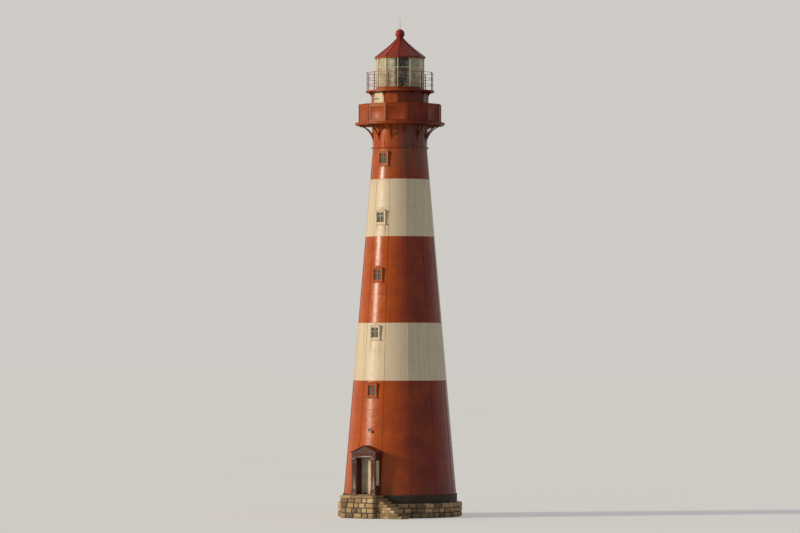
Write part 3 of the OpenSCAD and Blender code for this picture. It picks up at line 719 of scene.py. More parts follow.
@dataclass(frozen=True)
class Pane(Finish):
    """Clear sheet glass with a film of dried salt in clouds and runs.

    Attributes:
        film: How thick the film is, from 0 to 1.
        body: How much of the sheet shows where it is clean.
        wiped: Degrees round the tower of a side that is wiped clean.
    """

    film: float = 0.4
    body: float = 0.16
    wiped: float | None = None

    def make(self, g: Graph) -> None:
        """Build the glass.

        Args:
            g: The material's graph.
        """
        gloss = g.add("ShaderNodeFresnel", None, {"IOR": 1.5})
        cloud = g.noise(g.place, 2.4, 6, 0.6).smooth(0.34, 0.72)
        runs = g.noise(g.vector("MULTIPLY", g.place, (9, 9, 0.7)), 1.0, 5).smooth(0.45, 0.75)
        film = (cloud * 0.32 + runs * 0.18 + 0.5) * self.film
        if self.wiped is not None:
            film = film * (1 - g.facing(self.wiped).smooth(0.93, 0.98) * 0.85)
        colour = g.mix(film, Dirt.CLEAN_GLASS.value, Dirt.SALT)
        g.finish(Base_Color=colour, Roughness=0.05 + film * 0.4,
                 Alpha=(gloss * 0.8 + film * 0.85 + self.body).math("MINIMUM", 1.0))


@dataclass(frozen=True)
class Prism(Finish):
    """Thick greenish lens glass with polished faces."""

    def make(self, g: Graph) -> None:
        """Build the lens glass.

        Args:
            g: The material's graph.
        """
        cloud = g.noise(g.place, 5, 4)
        g.finish(Base_Color=g.tinted(cloud, Tint.PRISM, 0.3, 0.7), Roughness=0.05 + cloud * 0.08,
                 Transmission_Weight=0.75, IOR=1.5, Normal=g.bump(cloud * 0.002))


@dataclass(frozen=True)
class Joinery(Finish):
    """Brush-painted timber with a little grain, rubbed and dirty where hands and feet reach.

    Attributes:
        tint: The paint's colour.
        foot: Height of the piece's lower edge.
        knobs: Whether the piece carries the entrance door's bronze knobs.
        knob_r: Radii inside and outside the edge of a knob.
        face_y: Distances of the leaf's face from its middle, inside and outside it.
    """

    tint: Tint = Tint.DOOR
    foot: float = 1.52
    knobs: bool = False
    knob_r: Span = (0.036, 0.038)
    face_y: Span = (0.0305, 0.0315)

    def knob_mask(self, g: Graph) -> Val:
        """Find the knobs, which stand out from both faces of the leaf.

        Args:
            g: The material's graph.

        Returns:
            1 on the knobs and 0 elsewhere.
        """
        across, up = g.x - KNOB[0], g.z - KNOB[1]
        proud = (g.y - sum(LEAF_FACES) / 2).math("ABSOLUTE").smooth(*self.face_y)
        return proud * (1 - (across * across + up * up).math("SQRT").smooth(*self.knob_r))

    def make(self, g: Graph) -> None:
        """Build the paint on wood.

        Args:
            g: The material's graph.
        """
        brush = g.noise(g.vector("MULTIPLY", g.place, (60, 60, 1.6)), 1.0, 4)
        cloud = g.noise(g.place, 2.2, 6, 0.6).smooth(0.38, 0.70)
        low = 1 - (g.z - self.foot).smooth(0.0, 0.55)
        foot = low * g.noise(g.place, 5, 6, 0.65).smooth(0.36, 0.64)
        runs = g.noise(g.vector("MULTIPLY", g.place, (16, 16, 0.9)), 1.0, 5).smooth(0.50, 0.74)
        chips = g.noise(g.place, 24, 5, 0.7).smooth(0.66, 0.70) * foot
        colour = g.mix(cloud * 0.55, self.tint.fresh, self.tint.faded)
        colour = g.mix(runs * 0.28, colour, Dirt.DRIPS, "MULTIPLY")
        colour = g.mix(foot * 0.55, colour, Dirt.MUD)
        colour = g.mix(chips, colour, Dirt.BARE_WOOD)
        rough = 0.44 + cloud * 0.16 + foot * 0.3
        metallic = 0.0
        if self.knobs:
            metallic = self.knob_mask(g)
            colour = g.mix(metallic, colour, g.tinted(cloud, Tint.KNOBS, 0.2, 0.8))
            rough = rough - metallic * 0.16
        g.finish(Base_Color=colour, Metallic=metallic, Roughness=rough,
                 Normal=g.bump(brush * 0.0006 - chips * 0.0008))


@dataclass(frozen=True)
class LampPaint(Finish):
    """Iron lamp above, milky globe below its shade.

    Attributes:
        shade_z: Height of the shade's rim.
    """

    shade_z: float = 5.641

    def make(self, g: Graph) -> None:
        """Build the lamp's iron and glass.

        Args:
            g: The material's graph.
        """
        iron = g.z.smooth(self.shade_z - 0.002, self.shade_z + 0.002)
        rust = g.noise(g.place, 30, 5, 0.65).smooth(0.52, 0.66)
        dark = g.mix(rust * 0.5, Tint.IRON.fresh, Tint.RUST.fresh)
        cloud = g.noise(g.place, 12, 4).smooth(0.4, 0.8)
        milk = g.mix(cloud * 0.4, Tint.MILK.fresh, Tint.MILK.faded)
        g.finish(Base_Color=g.mix(iron, milk, dark), Roughness=0.16 + iron * 0.4,
                 Normal=g.bump(rust * iron * 0.0008))


@dataclass(frozen=True)
class Backdrop(Finish):
    """Plain pale floor that keeps its shadow.

    Attributes:
        lift: Light added for the camera, so that the floor runs into the background.
    """

    lift: Colour = (0.2, 0.2, 0.2)

    def make(self, g: Graph) -> None:
        """Build the floor.

        Args:
            g: The material's graph.
        """
        seen = g.add("ShaderNodeLightPath", out="Is Camera Ray")
        g.finish(Base_Color=g.tinted(g.noise(g.place, 0.02, 2), Tint.STUDIO, 0.0, 1.0),
                 Roughness=1.0, Specular_IOR_Level=0.0,
                 Emission_Color=g.mix(seen, (0, 0, 0), self.lift), Emission_Strength=1.0)


SHAFT = Enamel("shaft_enamel", banded=True, plated=True, rust=0.75)
JOINTS = Enamel("joint_enamel", banded=True, rust=0.9, gloss=0.50)
PORTAL = Enamel("portal_enamel", Tint.MAROON, turned=False, rust=0.45, gloss=0.28, detail=1.6)
BAND_TRIM = Enamel("window_trim_enamel", banded=True, turned=False, rust=0.6, detail=1.6)
SASHES = Enamel("sash_paint", banded=True, turned=False, rust=0.25, gloss=0.40, detail=3.0)
NECK = Enamel("neck_enamel", rust=0.8)
PARAPET = Enamel("parapet_enamel", Tint.DEEP, turned=False, rust=0.7, gloss=0.42, detail=1.3)
DRUM = Enamel("watch_room_enamel", Tint.DEEP, turned=False, rust=0.75, gloss=0.36)
DRUM_WALL = Enamel("watch_room_wall_enamel", Tint.DEEP, turned=False, rust=0.55, gloss=0.36,
                   pale_flat=GALLERY_DOOR_SIDE)
BARS = Enamel("lantern_cream_paint", Tint.CREAM, turned=False, rust=0.35, detail=2.2)
ROOFING = Enamel("roof_enamel", Tint.ROOF, turned=False, rust=0.55, gloss=0.44)
TARRED = Enamel("tarred_course", Tint.TAR, rust=0.35, gloss=0.55)
RAILING = Enamel("railing_enamel", Tint.ROOF, turned=False, rust=0.6, detail=3.0)
IRONWORK = Enamel("blackened_iron", Tint.IRON, turned=False, rust=0.6, gloss=0.5, detail=4.0)
RUBBLE = Stone("rubble_stone")
SLABS = Stone("dressed_stone", dressed=True)
FLOOR = Stone("stone_floor", dressed=True, whole=True)
MORTAR = Mortar("joint_mortar")
PLATES = TreadPlate("floor_plate")
METAL = Bronze("aged_bronze")
LENS_METAL = Bronze("lens_bronze", patina=0.2)
WINDOW = Pane("window_glass", film=0.22, body=0.42)
GLAZING = Pane("lantern_glazing", film=1.05, body=0.06, wiped=-50)
LENS = Prism("lens_prism_glass")
DOOR_PAINT = Joinery("door_paint")
LEAF_PAINT = Joinery("leaf_paint", knobs=True)
GALLERY_PAINT = Joinery("gallery_door_paint", Tint.CREAM, foot=25.85)
LAMP = LampPaint("door_lamp_finish")


class Shape:
    """A piece while it is modelled with Blender's own edit tools."""

    def __init__(self, piece: bpy.types.Object) -> None:
        """Keep the object being shaped."""
        self.piece = piece

    @classmethod
    def start(cls, primitive: Callable[..., set], **settings: float | int | str) -> "Shape":
        """Add a primitive at the origin.

        Args:
            primitive: The operator that adds it.
            settings: The operator's options.

        Returns:
            The new shape.
        """
        bpy.ops.object.select_all(action="DESELECT")
        primitive(location=(0, 0, 0), **settings)
        return cls(bpy.context.object)

    @classmethod
    def block(cls, size: Point, centre: Point = (0, 0, 0)) -> "Shape":
        """Return a box of a size about its centre."""
        shape = cls.start(bpy.ops.mesh.primitive_cube_add, size=1.0)
        return shape.sized(size).placed(moved(*centre))

    @classmethod
    def bar(cls, radius: float, length: float, sides: int = 12) -> "Shape":
        """Add a bar of many sides that stands on the origin.

        Args:
            radius: Radius of its corners.
            length: Its length.
            sides: Number of its sides.

        Returns:
            The bar.
        """
        settings = {"radius": radius, "depth": length, "vertices": sides}
        shape = cls.start(bpy.ops.mesh.primitive_cylinder_add, **settings)
        return shape.placed(moved(z=length / 2))

    @classmethod
    def turned(cls, profile: Profile, steps: int) -> "Shape":
        """Draw a profile point by point and spin it round the upright axis.

        Args:
            profile: Radius and height of each point, the first again at the end of a closed ring.
            steps: Number of steps in the turn.

        Returns:
            The turned shape.
        """
        shape = cls.start(bpy.ops.mesh.primitive_plane_add, size=0.01)
        with shape.edit():
            bpy.ops.mesh.merge(type="CENTER")
            bpy.ops.transform.translate(value=(profile[0][0], 0, profile[0][1]))
            for (r0, z0), (r1, z1) in zip(profile, profile[1:]):
                step = {"value": (r1 - r0, 0, z1 - z0)}
                bpy.ops.mesh.extrude_vertices_move(TRANSFORM_OT_translate=step)
            bpy.ops.mesh.select_all(action="SELECT")
            bpy.ops.mesh.spin(steps=steps, angle=2 * math.pi, center=(0, 0, 0), axis=(0, 0, 1))
        return shape.closed()

    @classmethod
    def joined(cls, shapes: "list[Shape]") -> "Shape":
        """Join shapes into one.

        Args:
            shapes: What is joined, at least one.

        Returns:
            The joined shape.
        """
        shapes[0].focus()
        for shape in shapes:
            shape.piece.select_set(True)
        if len(shapes) > 1:
            bpy.ops.object.join()
        return cls(bpy.context.object)

    def focus(self) -> None:
        """Select the piece alone and make it active."""
        bpy.ops.object.select_all(action="DESELECT")
        self.piece.select_set(True)
        bpy.context.view_layer.objects.active = self.piece

    @contextmanager
    def edit(self, pick: Test | None = None) -> Iterator[None]:
        """Open the piece for editing.

        Args:
            pick: Test for the faces to select, or none to select all.

        Yields:
            Nothing, while the piece is open.
        """
        self.focus()
        bpy.ops.object.mode_set(mode="EDIT")
        bpy.ops.mesh.select_mode(type="VERT" if pick is None else "FACE")
        bpy.ops.mesh.select_all(action="SELECT" if pick is None else "DESELECT")
        if pick is not None:
            mesh = bmesh.from_edit_mesh(self.piece.data)
            mesh.normal_update()
            for face in mesh.faces:
                face.select_set(pick(face))
            bmesh.update_edit_mesh(self.piece.data)
        yield
        bpy.ops.object.mode_set(mode="OBJECT")

    def worked(self, tool: Callable[..., set], pick: Test | None = None,
               **settings: object) -> "Shape":
        """Use one edit tool.

        Args:
            tool: The operator.
            pick: Test for the faces it works on, or none for all.
            settings: The operator's options.

        Returns:
            This shape.
        """
        with self.edit(pick):
            tool(**settings)
        return self

    def sized(self, size: Point, pick: Test | None = None) -> "Shape":
        """Scale the mesh, or some faces of it, about the origin."""
        return self.worked(bpy.ops.transform.resize, pick, value=size, center_override=(0, 0, 0))

    def inset(self, way: Point, border: float, depth: float = 0.0, area: float = 0.0) -> "Shape":
        """Inset the faces over an area that look one way, and move them out or in by a depth."""
        tool = bpy.ops.mesh.inset
        return self.worked(tool, toward(way, area), thickness=border, depth=depth)

    def extruded(self, way: Point, length: float) -> "Shape":
        """Extrude the faces that look one way by a length."""
        settings = {"TRANSFORM_OT_translate": {"value": Vector(way) * length}}
        return self.worked(bpy.ops.mesh.extrude_region_move, toward(way), **settings)

    def closed(self) -> "Shape":
        """Merge doubled points, drop slivers and point all faces outwards.

        Returns:
            This shape.
        """
        with self.edit():
            bpy.ops.mesh.remove_doubles(threshold=WELD)
            bpy.ops.mesh.dissolve_degenerate(threshold=SLIVER)
            bpy.ops.mesh.normals_make_consistent(inside=False)
        return self

    def cut(self, pick: Test) -> "Shape":
        """Delete faces and close the ends that are left.

        Args:
            pick: Test for the faces.

        Returns:
            This shape.
        """
        with self.edit(pick):
            bpy.ops.mesh.delete(type="FACE")
            bpy.ops.mesh.select_mode(type="VERT")
            bpy.ops.mesh.select_all(action="SELECT")
            bpy.ops.mesh.fill_holes(sides=12)
            bpy.ops.mesh.normals_make_consistent(inside=False)
        return self

    def bevelled(self, width: float, segments: int = 1) -> "Shape":
        """Bevel every sharp edge.

        Args:
            width: Width of the bevel.
            segments: Number of steps across it.

        Returns:
            This shape.
        """
        bevel = self.piece.modifiers.new("bevel", "BEVEL")
        bevel.width, bevel.segments, bevel.angle_limit = width, segments, math.radians(SHARP)
        self.focus()
        bpy.ops.object.modifier_apply(modifier=bevel.name)
        return self

    def roughened(self, cuts: int, offset: float, ease: float, seed: int) -> "Shape":
        """Subdivide the mesh, move its points at random and ease its corners, in a unit box.

        Args:
            cuts: Number of cuts of each edge.
            offset: How far points move.
            ease: How much corners are eased.
            seed: Number that fixes the random moves.

        Returns:
            This shape.
        """
        with self.edit():
            bpy.ops.mesh.subdivide(number_cuts=cuts)
            bpy.ops.mesh.vertices_smooth(factor=ease, repeat=1)
            bpy.ops.transform.vertex_random(offset=offset, uniform=1.0, normal=0.0, seed=seed)
        corners = [vertex.co for vertex in self.piece.data.vertices]
        low, high = (Vector(end(corner[axis] for corner in corners) for axis in range(3))
                     for end in (min, max))
        shrunk = Matrix.Diagonal((*(1 / size for size in high - low), 1))
        return self.placed(shrunk @ moved(*(-(low + high) / 2)))

    def placed(self, place: Matrix) -> "Shape":
        """Move the mesh, and leave the object at the origin.

        Args:
            place: The move.

        Returns:
            This shape.
        """
        self.piece.data.transform(place)
        self.piece.data.update()
        return self

    def copied(self, place: Matrix) -> "Shape":
        """Copy the shape to a place, with a mesh of its own.

        Args:
            place: Where the copy goes.

        Returns:
            The copy.
        """
        mesh = self.piece.data.copy()
        mesh.transform(place)
        copy = bpy.data.objects.new(self.piece.name, mesh)
        bpy.context.collection.objects.link(copy)
        return Shape(copy)

    def repeated(self, places: Iterable[Matrix]) -> "Shape":
        """Make one shape of copies, without this one.

        Args:
            places: Where the copies go.

        Returns:
            The joined copies.
        """
        copies = [self.copied(place) for place in places]
        self.drop()
        return Shape.joined(copies)

    def shaded(self, tint: float) -> "Shape":
        """Give all faces a share of colour, which stone reads.

        Args:
            tint: The share.

        Returns:
            This shape.
        """
        mesh = self.piece.data
        shares = mesh.attributes.new("tint", "FLOAT", "FACE").data
        shares.foreach_set("value", [tint] * len(mesh.polygons))
        return self

    def drop(self) -> None:
        """Remove the shape."""
        bpy.data.objects.remove(self.piece)


@dataclass
class Assembly:
    """A group of pieces of the lighthouse.

    Attributes:
        made: Names of the pieces made so far.
    """

    made: list[str] = field(default_factory=list, init=False)

    def coat(self, finish: Finish, *nodes: str) -> None:
        """Give nodes of the frame a finish.

        Args:
            finish: The finish.
            nodes: Names of the nodes.
        """
        for node in nodes:
            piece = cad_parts[node]
            if not piece.material_slots:
                piece.data.materials.append(None)
            for slot in piece.material_slots:
                slot.material = finish.material()

    def keep(self, shape: Shape, name: str, finish: Finish, slot: Slot, body: Body = Body.TOWER,
             stands_for: tuple[str, ...] = (), smooth: float = 35) -> None:
        """Finish a shape as a piece of the model.

        Args:
            shape: What was modelled.
            name: The piece's name.
            finish: Its finish.
            slot: The material slot it belongs to; not used.
            body: The body it rides on.
            stands_for: The nodes it replaces.
            smooth: Angle under which faces are shaded smooth.
        """
        piece = shape.piece
        piece.name = piece.data.name = name
        piece.data.materials.clear()
        piece.data.materials.append(finish.material())
        shape.focus()
        bpy.ops.object.shade_smooth_by_angle(angle=math.radians(smooth))
        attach(piece, body.value)
        if stands_for:
            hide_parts(*stands_for)
        self.made.append(name)

    def bolt(self, name: str, finish: Finish, slot: Slot, places: Iterable[Matrix],
             radius: float, height: float = 0.012) -> None:
        """Set a hexagon bolt head on its washer at each of many places.

        Args:
            name: Name of the piece that they make.
            finish: Its finish.
            slot: The material slot it belongs to.
            places: Where they stand, along their own Z.
            radius: Radius of a head.
            height: Height of a bolt.
        """
        washer = Shape.bar(WASHER[0] * radius, WASHER[1] * height, 10)
        head = Shape.bar(HEAD[0] * radius, HEAD[1] * height, 6)
        head.inset(UP, CROWN[0] * radius, CROWN[1] * height)
        bolts = Shape.joined([washer, head]).repeated(places)
        self.keep(bolts, name, finish, slot, smooth=20)


@dataclass(frozen=True)
class Quarry:
    """Unit stones of one sort, to choose from.

    Attributes:
        kinds: Number of them.
        seed: Number that fixes the shape of the first.
        cuts: Number of cuts of each edge.
        offset: How far points move at random.
        ease: How much corners are eased.
    """

    kinds: int
    seed: int
    cuts: int
    offset: float
    ease: float

    def stones(self) -> list[Shape]:
        """Return the unit stones."""
        return [Shape.block((1, 1, 1)).roughened(self.cuts, self.offset, self.ease, seed)
                for seed in range(self.seed, self.seed + self.kinds)]


@dataclass(frozen=True)
class Course:
    """One course of the plinth.

    Attributes:
        height: Its height.
        deep: Depth of its stones.
        widths: Least and greatest width of a stone, in degrees round the tower.
    """

    height: float
    deep: float = 0.34
    widths: Span = (5.0, 10.5)


@dataclass
class StoneBase(Assembly):
    """Plinth, landing and flight of steps in rubble stone.

    Attributes:
        rubble: Unit stones of rubble.
        dressed: Unit stones of dressed slabs.
        plinth_r: Outer radius of the plinth.
        courses: Courses of the plinth, the last its coping.
        half: Half the landing's width.
        front: Distance of the landing's front from the axis.
        top: Height of the landing.
        landing_courses: Heights of the landing's courses.
        front_thick: Thickness of the stones in its front.
        side_thick: Thickness of the stones in its sides.
        corner_gap: Gap between the stones of its front and of its sides.
        sides_end: Distance of the sides' back ends from the axis.
        paving: Depths of the rows of paving, from the front.
        paving_h: Thickness of the paving.
        flight: Distances of the steps' front and back from the axis.
        treads: Number of treads.
        tread: Depth of a tread.
        nosing: How far a tread reaches over the stones behind it.
        front_w: Least and greatest width of a stone in the landing's front.
        side_w: The same in its sides.
        slab_w: The same in its paving.
        step_w: The same in the steps.
        joint: Width of the joints in rubble.
        slab_joint: Width of the joints in paving.
        tread_joint: Height of the joint under a tread.
        step_joint: Joints of the stones in a step, beside, before and over them.
        plinth_play: How far back a stone of the plinth lies, at random.
        landing_play: The same for the landing.
        step_play: The same for the steps.
        reveal: Least distance of the landing's stones behind its faces.
        plinth_core: How far the plinth's mortar lies behind its face and under its top.
        landing_core: The same for the landing.
        core_end: Distance of the landing mortar's back from the axis.
        step_core: How far the steps' mortar lies behind their faces, and its lift.
        seed: Number that fixes the stones' sizes.
    """

    rubble: Quarry = Quarry(kinds=7, seed=0, cuts=3, offset=0.055, ease=0.55)
    dressed: Quarry = Quarry(kinds=3, seed=40, cuts=2, offset=0.012, ease=0.10)
    plinth_r: float = 4.10
    courses: tuple[Course, ...] = (Course(0.34), Course(0.30), Course(0.30, 0.42, (6.0, 12.5)))
    half: float = 1.32
    front: float = 4.95
    top: float = 1.47
    landing_courses: tuple[float, ...] = (0.35, 0.33, 0.32, 0.31)
    front_thick: float = 0.34
    side_thick: float = 0.30
    corner_gap: float = 0.01
    sides_end: float = 3.72
    paving: tuple[float, ...] = (0.46, 0.40, 0.37)
    paving_h: float = 0.16
    flight: Span = (4.55, 3.65)
    treads: int = 7
    tread: float = 0.28
    nosing: float = 0.03
    front_w: Span = (0.38, 0.72)
    side_w: Span = (0.34, 0.62)
    slab_w: Span = (0.70, 1.05)
    step_w: Span = (0.30, 0.58)
    joint: float = 0.022
    slab_joint: float = 0.012
    tread_joint: float = 0.008
    step_joint: Point = (0.016, 0.020, 0.014)
    plinth_play: Span = (0.002, 0.028)
    landing_play: Span = (0.0, 0.018)
    step_play: Span = (0.0, 0.012)
    reveal: float = 0.002
    plinth_core: Span = (0.11, 0.03)
    landing_core: Span = (0.09, 0.05)
    core_end: float = 3.66
    step_core: Span = (0.05, 0.002)
    seed: int = 17

    def build(self) -> None:
        """Lay the stones and dress the footing."""
        self.dice = random.Random(self.seed)
        self.blocks, self.slabs = self.rubble.stones(), self.dressed.stones()
        self.plinth()
        self.landing()
        self.pave()
        self.landing_mortar()
        self.steps()
        for shape in (*self.blocks, *self.slabs):
            shape.drop()
        self.coat(TARRED, "footing_course")
        self.coat(FLOOR, "ground_floor", "door_threshold")

    def row(self, start: float, length: float, sizes: Span) -> Iterator[Span]:
        """Split a row into stones at random.

        Args:
            start: Where it starts.
            length: Its length.
            sizes: The least and greatest width of a stone, before they are fitted.

        Yields:
            The middle and the width of each stone.
        """
        widths = []
        while sum(widths) < length:
            widths.append(self.dice.uniform(*sizes))
        total = sum(widths)
        for width in [width * length / total for width in widths]:
            yield start + width / 2, width
            start += width

    def lay(self, kinds: list[Shape], size: Point, place: Matrix) -> Shape:
        """Lay one stone.

        Args:
            kinds: Unit stones to choose from.
            size: Its size, with joints taken off.
            place: Where its middle goes.

        Returns:
            The stone.
        """
        shape = self.dice.choice(kinds)
        flip = spun(180 * self.dice.randrange(2))
        stone = shape.copied(place @ Matrix.Diagonal((*size, 1)) @ flip)
        return stone.shaded(self.dice.random())

    def bond(self, stones: list[Shape], name: str, finish: Finish, node: str) -> None:
        """Keep stones as one piece that stands for a node."""
        self.keep(Shape.joined(stones), name, finish, Slot.STONE, stands_for=(node,))

    def plinth(self) -> None:
        """Lay the round plinth, course by course, round a mortar core."""
        stones, low, gap = [], 0.0, self.joint / 2
        for level, course in enumerate(self.courses):
            coping = level == len(self.courses) - 1
            foot = low + (gap if level else 0)
            head = low + course.height - (0 if coping else gap)
            start = self.dice.uniform(0, 20) - 90
            for angle, width in self.row(start, 360, course.widths):
                span = self.plinth_r * math.radians(width) - self.joint
                middle = math.radians(angle)
                reach = abs(math.cos(middle)) * self.plinth_r + span / 2
                if math.sin(middle) < 0 and reach < self.half:
                    continue
                back = span * span / (8 * self.plinth_r) + self.dice.uniform(*self.plinth_play)
                place = spun(angle) @ moved(self.plinth_r - back - course.deep / 2, 0,
                                            (foot + head) / 2)
                stones.append(self.lay(self.blocks, (course.deep, span, head - foot), place))
            low += course.height
        self.bond(stones, "plinth_stones", RUBBLE, "plinth")
        behind, under = self.plinth_core
        outer, top = self.plinth_r - behind, low - under
        core = Shape.turned(((0, 0), (outer, 0), (outer, top), (0, top)), 96)
        self.bond([core.bevelled(0.02, segments=2)], "plinth_mortar", MORTAR, "plinth")

    def landing(self) -> None:
        """Lay the landing's front and sides."""
        stones, low, gap = [], 0.0, self.joint
        start = self.front_thick + self.corner_gap - self.front
        for height in self.landing_courses:
            z = low + height / 2
            for x, width in self.row(-self.half, 2 * self.half, self.front_w):
                y = self.front_thick / 2 + self.setback() - self.front
                size = (width - gap, self.front_thick, height - gap)
                stones.append(self.lay(self.blocks, size, moved(x, y, z)))
            for side in (-1, 1):
                for y, width in self.row(start, -start - self.sides_end, self.side_w):
                    x = self.half - self.side_thick / 2 - self.setback()
                    size = (self.side_thick, width - gap, height - gap)
                    stones.append(self.lay(self.blocks, size, moved(side * x, y, z)))
            low += height
        self.bond(stones, "landing_stones", RUBBLE, "door_landing")

    def setback(self) -> float:
        """Return how far behind the landing's face the next stone lies."""
        return self.reveal + self.dice.uniform(*self.landing_play)

    def pave(self) -> None:
        """Pave the landing in rows of slabs."""
        slabs, y = [], -self.front
        for deep in self.paving:
            for x, width in self.row(-self.half, 2 * self.half, self.slab_w):
                size = (width - self.slab_joint, deep - self.slab_joint, self.paving_h)
                place = moved(x, y + deep / 2, self.top - self.paving_h / 2)
                slabs.append(self.lay(self.slabs, size, place))
            y += deep
        self.bond(slabs, "landing_paving", SLABS, "door_landing")

    def landing_mortar(self) -> None:
        """Fill the landing with mortar behind its stones."""
        behind, under = self.landing_core
        front, top = self.front - behind, self.top - under
        core = Shape.block((2 * (self.half - behind), front - self.core_end, top),
                           (0, -(front + self.core_end) / 2, top / 2))
        self.bond([core.bevelled(0.02, segments=2)], "landing_mortar", MORTAR, "door_landing")

    def steps(self) -> None:
        """Lay the flight, with a worn tread at the end of each row of stones."""
        front, back = self.flight
        wide, y = front - back, -(front + back) / 2
        rise = self.top / (self.treads + 1)
        (beside, before, over), (behind, lift) = self.step_joint, self.step_core
        stones, treads, cores = [], [], []
        for row in range(self.treads):
            under = (self.treads - 1 - row) * self.tread
            z = (row + 0.5) * rise
            if under:
                for x, width in self.row(self.half, under, self.step_w):
                    place = moved(x, y + self.dice.uniform(*self.step_play), z)
                    size = (width - beside, wide - before, rise - over)
                    stones.append(self.lay(self.slabs, size, place))
                cores.append(Shape.block((under, wide - 2 * behind, rise),
                                         (self.half + under / 2, y, z + lift)))
            place = moved(self.half + under + (self.tread - self.nosing) / 2, y,
                          z + self.tread_joint / 2)
            size = (self.tread + self.nosing, wide, rise - self.tread_joint)
            treads.append(self.lay(self.slabs, size, place))
        self.bond(stones, "step_stones", RUBBLE, "entrance_steps")
        self.bond(treads, "step_treads", SLABS, "entrance_steps")
        self.bond(cores, "step_mortar", MORTAR, "entrance_steps")


@dataclass
class Shaft(Assembly):
    """Tapering shaft of bolted cast-iron plates with its windows, ledge and neck.

    Attributes:
        lintel: Height of the portal's head, below which level joints stop at the portal.
        over_portal: Height at which upright joints start over the portal.
        portal_half: Half the width that joints leave free for the portal.
        bead: Profile of a level joint's bead: out from the wall, and up.
        upright: Radius of an upright joint's bead, and how it is flattened.
        end_gap: Gap at the ends of the bead.
        foot_bolt_r: Radius of the ring of holding-down bolts.
        entrance_side: Degrees each side of the entrance that they leave free.
        ledge_r: Outer radius of the ledge.
        ledge_bolt_z: Height of its bolts.
        hinge: Radius and height of a window hinge.
        hinge_at: Its distances sideways and up from a window's middle, and out from the wall.
        neck_r: Radius of the neck's face.
        strap: Thickness, width and height of a covering strap on the neck.
        strap_z: Height of its middle.
        strap_bolts: Its bolts' distance out from the face, the height of the lowest, and the rise
            from bolt to bolt.
    """

    lintel: float = 4.265
    over_portal: float = 4.37
    portal_half: float = 0.78
    bead: Profile = ((-0.004, -0.013), (0.004, -0.010), (0.009, 0.0),
                     (0.004, 0.010), (-0.004, 0.013), (-0.004, -0.013))
    upright: tuple[float, Point] = (0.011, (0.4, 1.6, 1))
    end_gap: float = 0.005
    foot_bolt_r: float = 3.714
    entrance_side: float = 21
    ledge_r: float = 1.886
    ledge_bolt_z: float = 24.135
    hinge: Span = (0.011, 0.09)
    hinge_at: Point = (0.296, 0.22, 0.008)
    neck_r: float = 1.787
    strap: Point = (0.012, 0.075, 1.30)
    strap_z: float = 24.86
    strap_bolts: Point = (0.005, 24.32, 0.18)

    def build(self) -> None:
        """Dress the walls and add joints, bolts and window hinges."""
        self.coat(SHAFT, "base_wall_left", "base_wall_right", "base_wall_over_door",
                  "base_wall_back", "red_course_low", "white_course_low", "red_course_mid",
                  "white_course_high", "red_course_top")
        self.coat(NECK, "neck_wall", "ledge_moulding")
        self.coat(PLATES, "storey_floors")
        self.coat(BAND_TRIM, "window_surrounds")
        self.coat(SASHES, "window_sashes")
        self.coat(WINDOW, "window_glass")
        self.level_joints()
        self.upright_joints()
        self.bolts()
        self.window_hinges()
        self.neck_straps()

    def level_joints(self) -> None:
        """Run a caulked bead round the tower at each joint between rows of plates."""
        beads = []
        for rows in range(-3, 8):
            z = ROW_START + rows * ROW
            radius = shaft_radius(z)
            bead = Shape.turned(tuple((radius + out, z + up) for out, up in self.bead), 120)
            if z < self.lintel:
                bead.cut(self.at_portal)
            beads.append(bead)
        self.keep(Shape.joined(beads), "level_joint_beads", JOINTS, Slot.RED)

    def at_portal(self, face: bmesh.types.BMFace) -> bool:
        """Return whether a face lies behind the portal."""
        middle = face.calc_center_median()
        return middle.y < 0 and abs(middle.x) < self.portal_half

    def upright_joints(self) -> None:
        """Run a bead up each joint between plates, from the foot or from over the entrance."""
        beads, (radius, flattened) = [], self.upright
        foot, high = FOOT_Z + self.end_gap, LEDGE_Z - self.end_gap
        for angle in CORNERS:
            low = self.over_portal if abs(angle - DOOR_SIDE) < BAY else foot
            rise = Vector((shaft_radius(high) - shaft_radius(low), 0, high - low))
            lean = rise.to_track_quat("Z", "Y").to_matrix().to_4x4()
            bead = Shape.bar(radius, rise.length, 6).sized(flattened)
            beads.append(bead.placed(spun(angle) @ moved(shaft_radius(low), 0, low) @ lean))
        self.keep(Shape.joined(beads), "upright_joint_beads", JOINTS, Slot.RED)

    def bolts(self) -> None:
        """Set the holding-down bolts on the footing's edge, and the bolts of the ledge."""
        free = [angle for angle in range(0, 360, 5) if abs(angle - DOOR_SIDE) > self.entrance_side]
        foot = ring(free, self.foot_bolt_r, z=FOOT_Z)
        self.bolt("foot_bolts", TARRED, Slot.TAR, foot, radius=0.016, height=0.030)
        ledge = [around(self.ledge_r, self.ledge_bolt_z, angle) for angle in range(0, 360, 6)]
        self.bolt("ledge_bolts", NECK, Slot.RED, ledge, radius=0.012)

    def window_hinges(self) -> None:
        """Hang each window on two hinges a side."""
        (radius, height), (across, up, out) = self.hinge, self.hinge_at
        places = [moved(side * across, -shaft_radius(z) - out, z + rise - height / 2)
                  for z in WINDOWS for side in (-1, 1) for rise in (-up, up)]
        hinges = Shape.bar(radius, height, 10).bevelled(0.003).repeated(places)
        self.keep(hinges, "window_hinges", IRONWORK, Slot.IRON)

    def neck_straps(self) -> None:
        """Cover the neck's upright joints with bolted straps, between the brackets."""
        straps = Shape.block(self.strap).bevelled(0.004, segments=2)
        straps = straps.repeated(ring(FLATS, self.neck_r, z=self.strap_z))
        self.keep(straps, "neck_straps", NECK, Slot.RED)
        out, low, step = self.strap_bolts
        bolts = [around(self.neck_r + out, low + step * row, angle)
                 for angle in FLATS for row in range(7)]
        self.bolt("neck_strap_bolts", NECK, Slot.RED, bolts, radius=0.012)


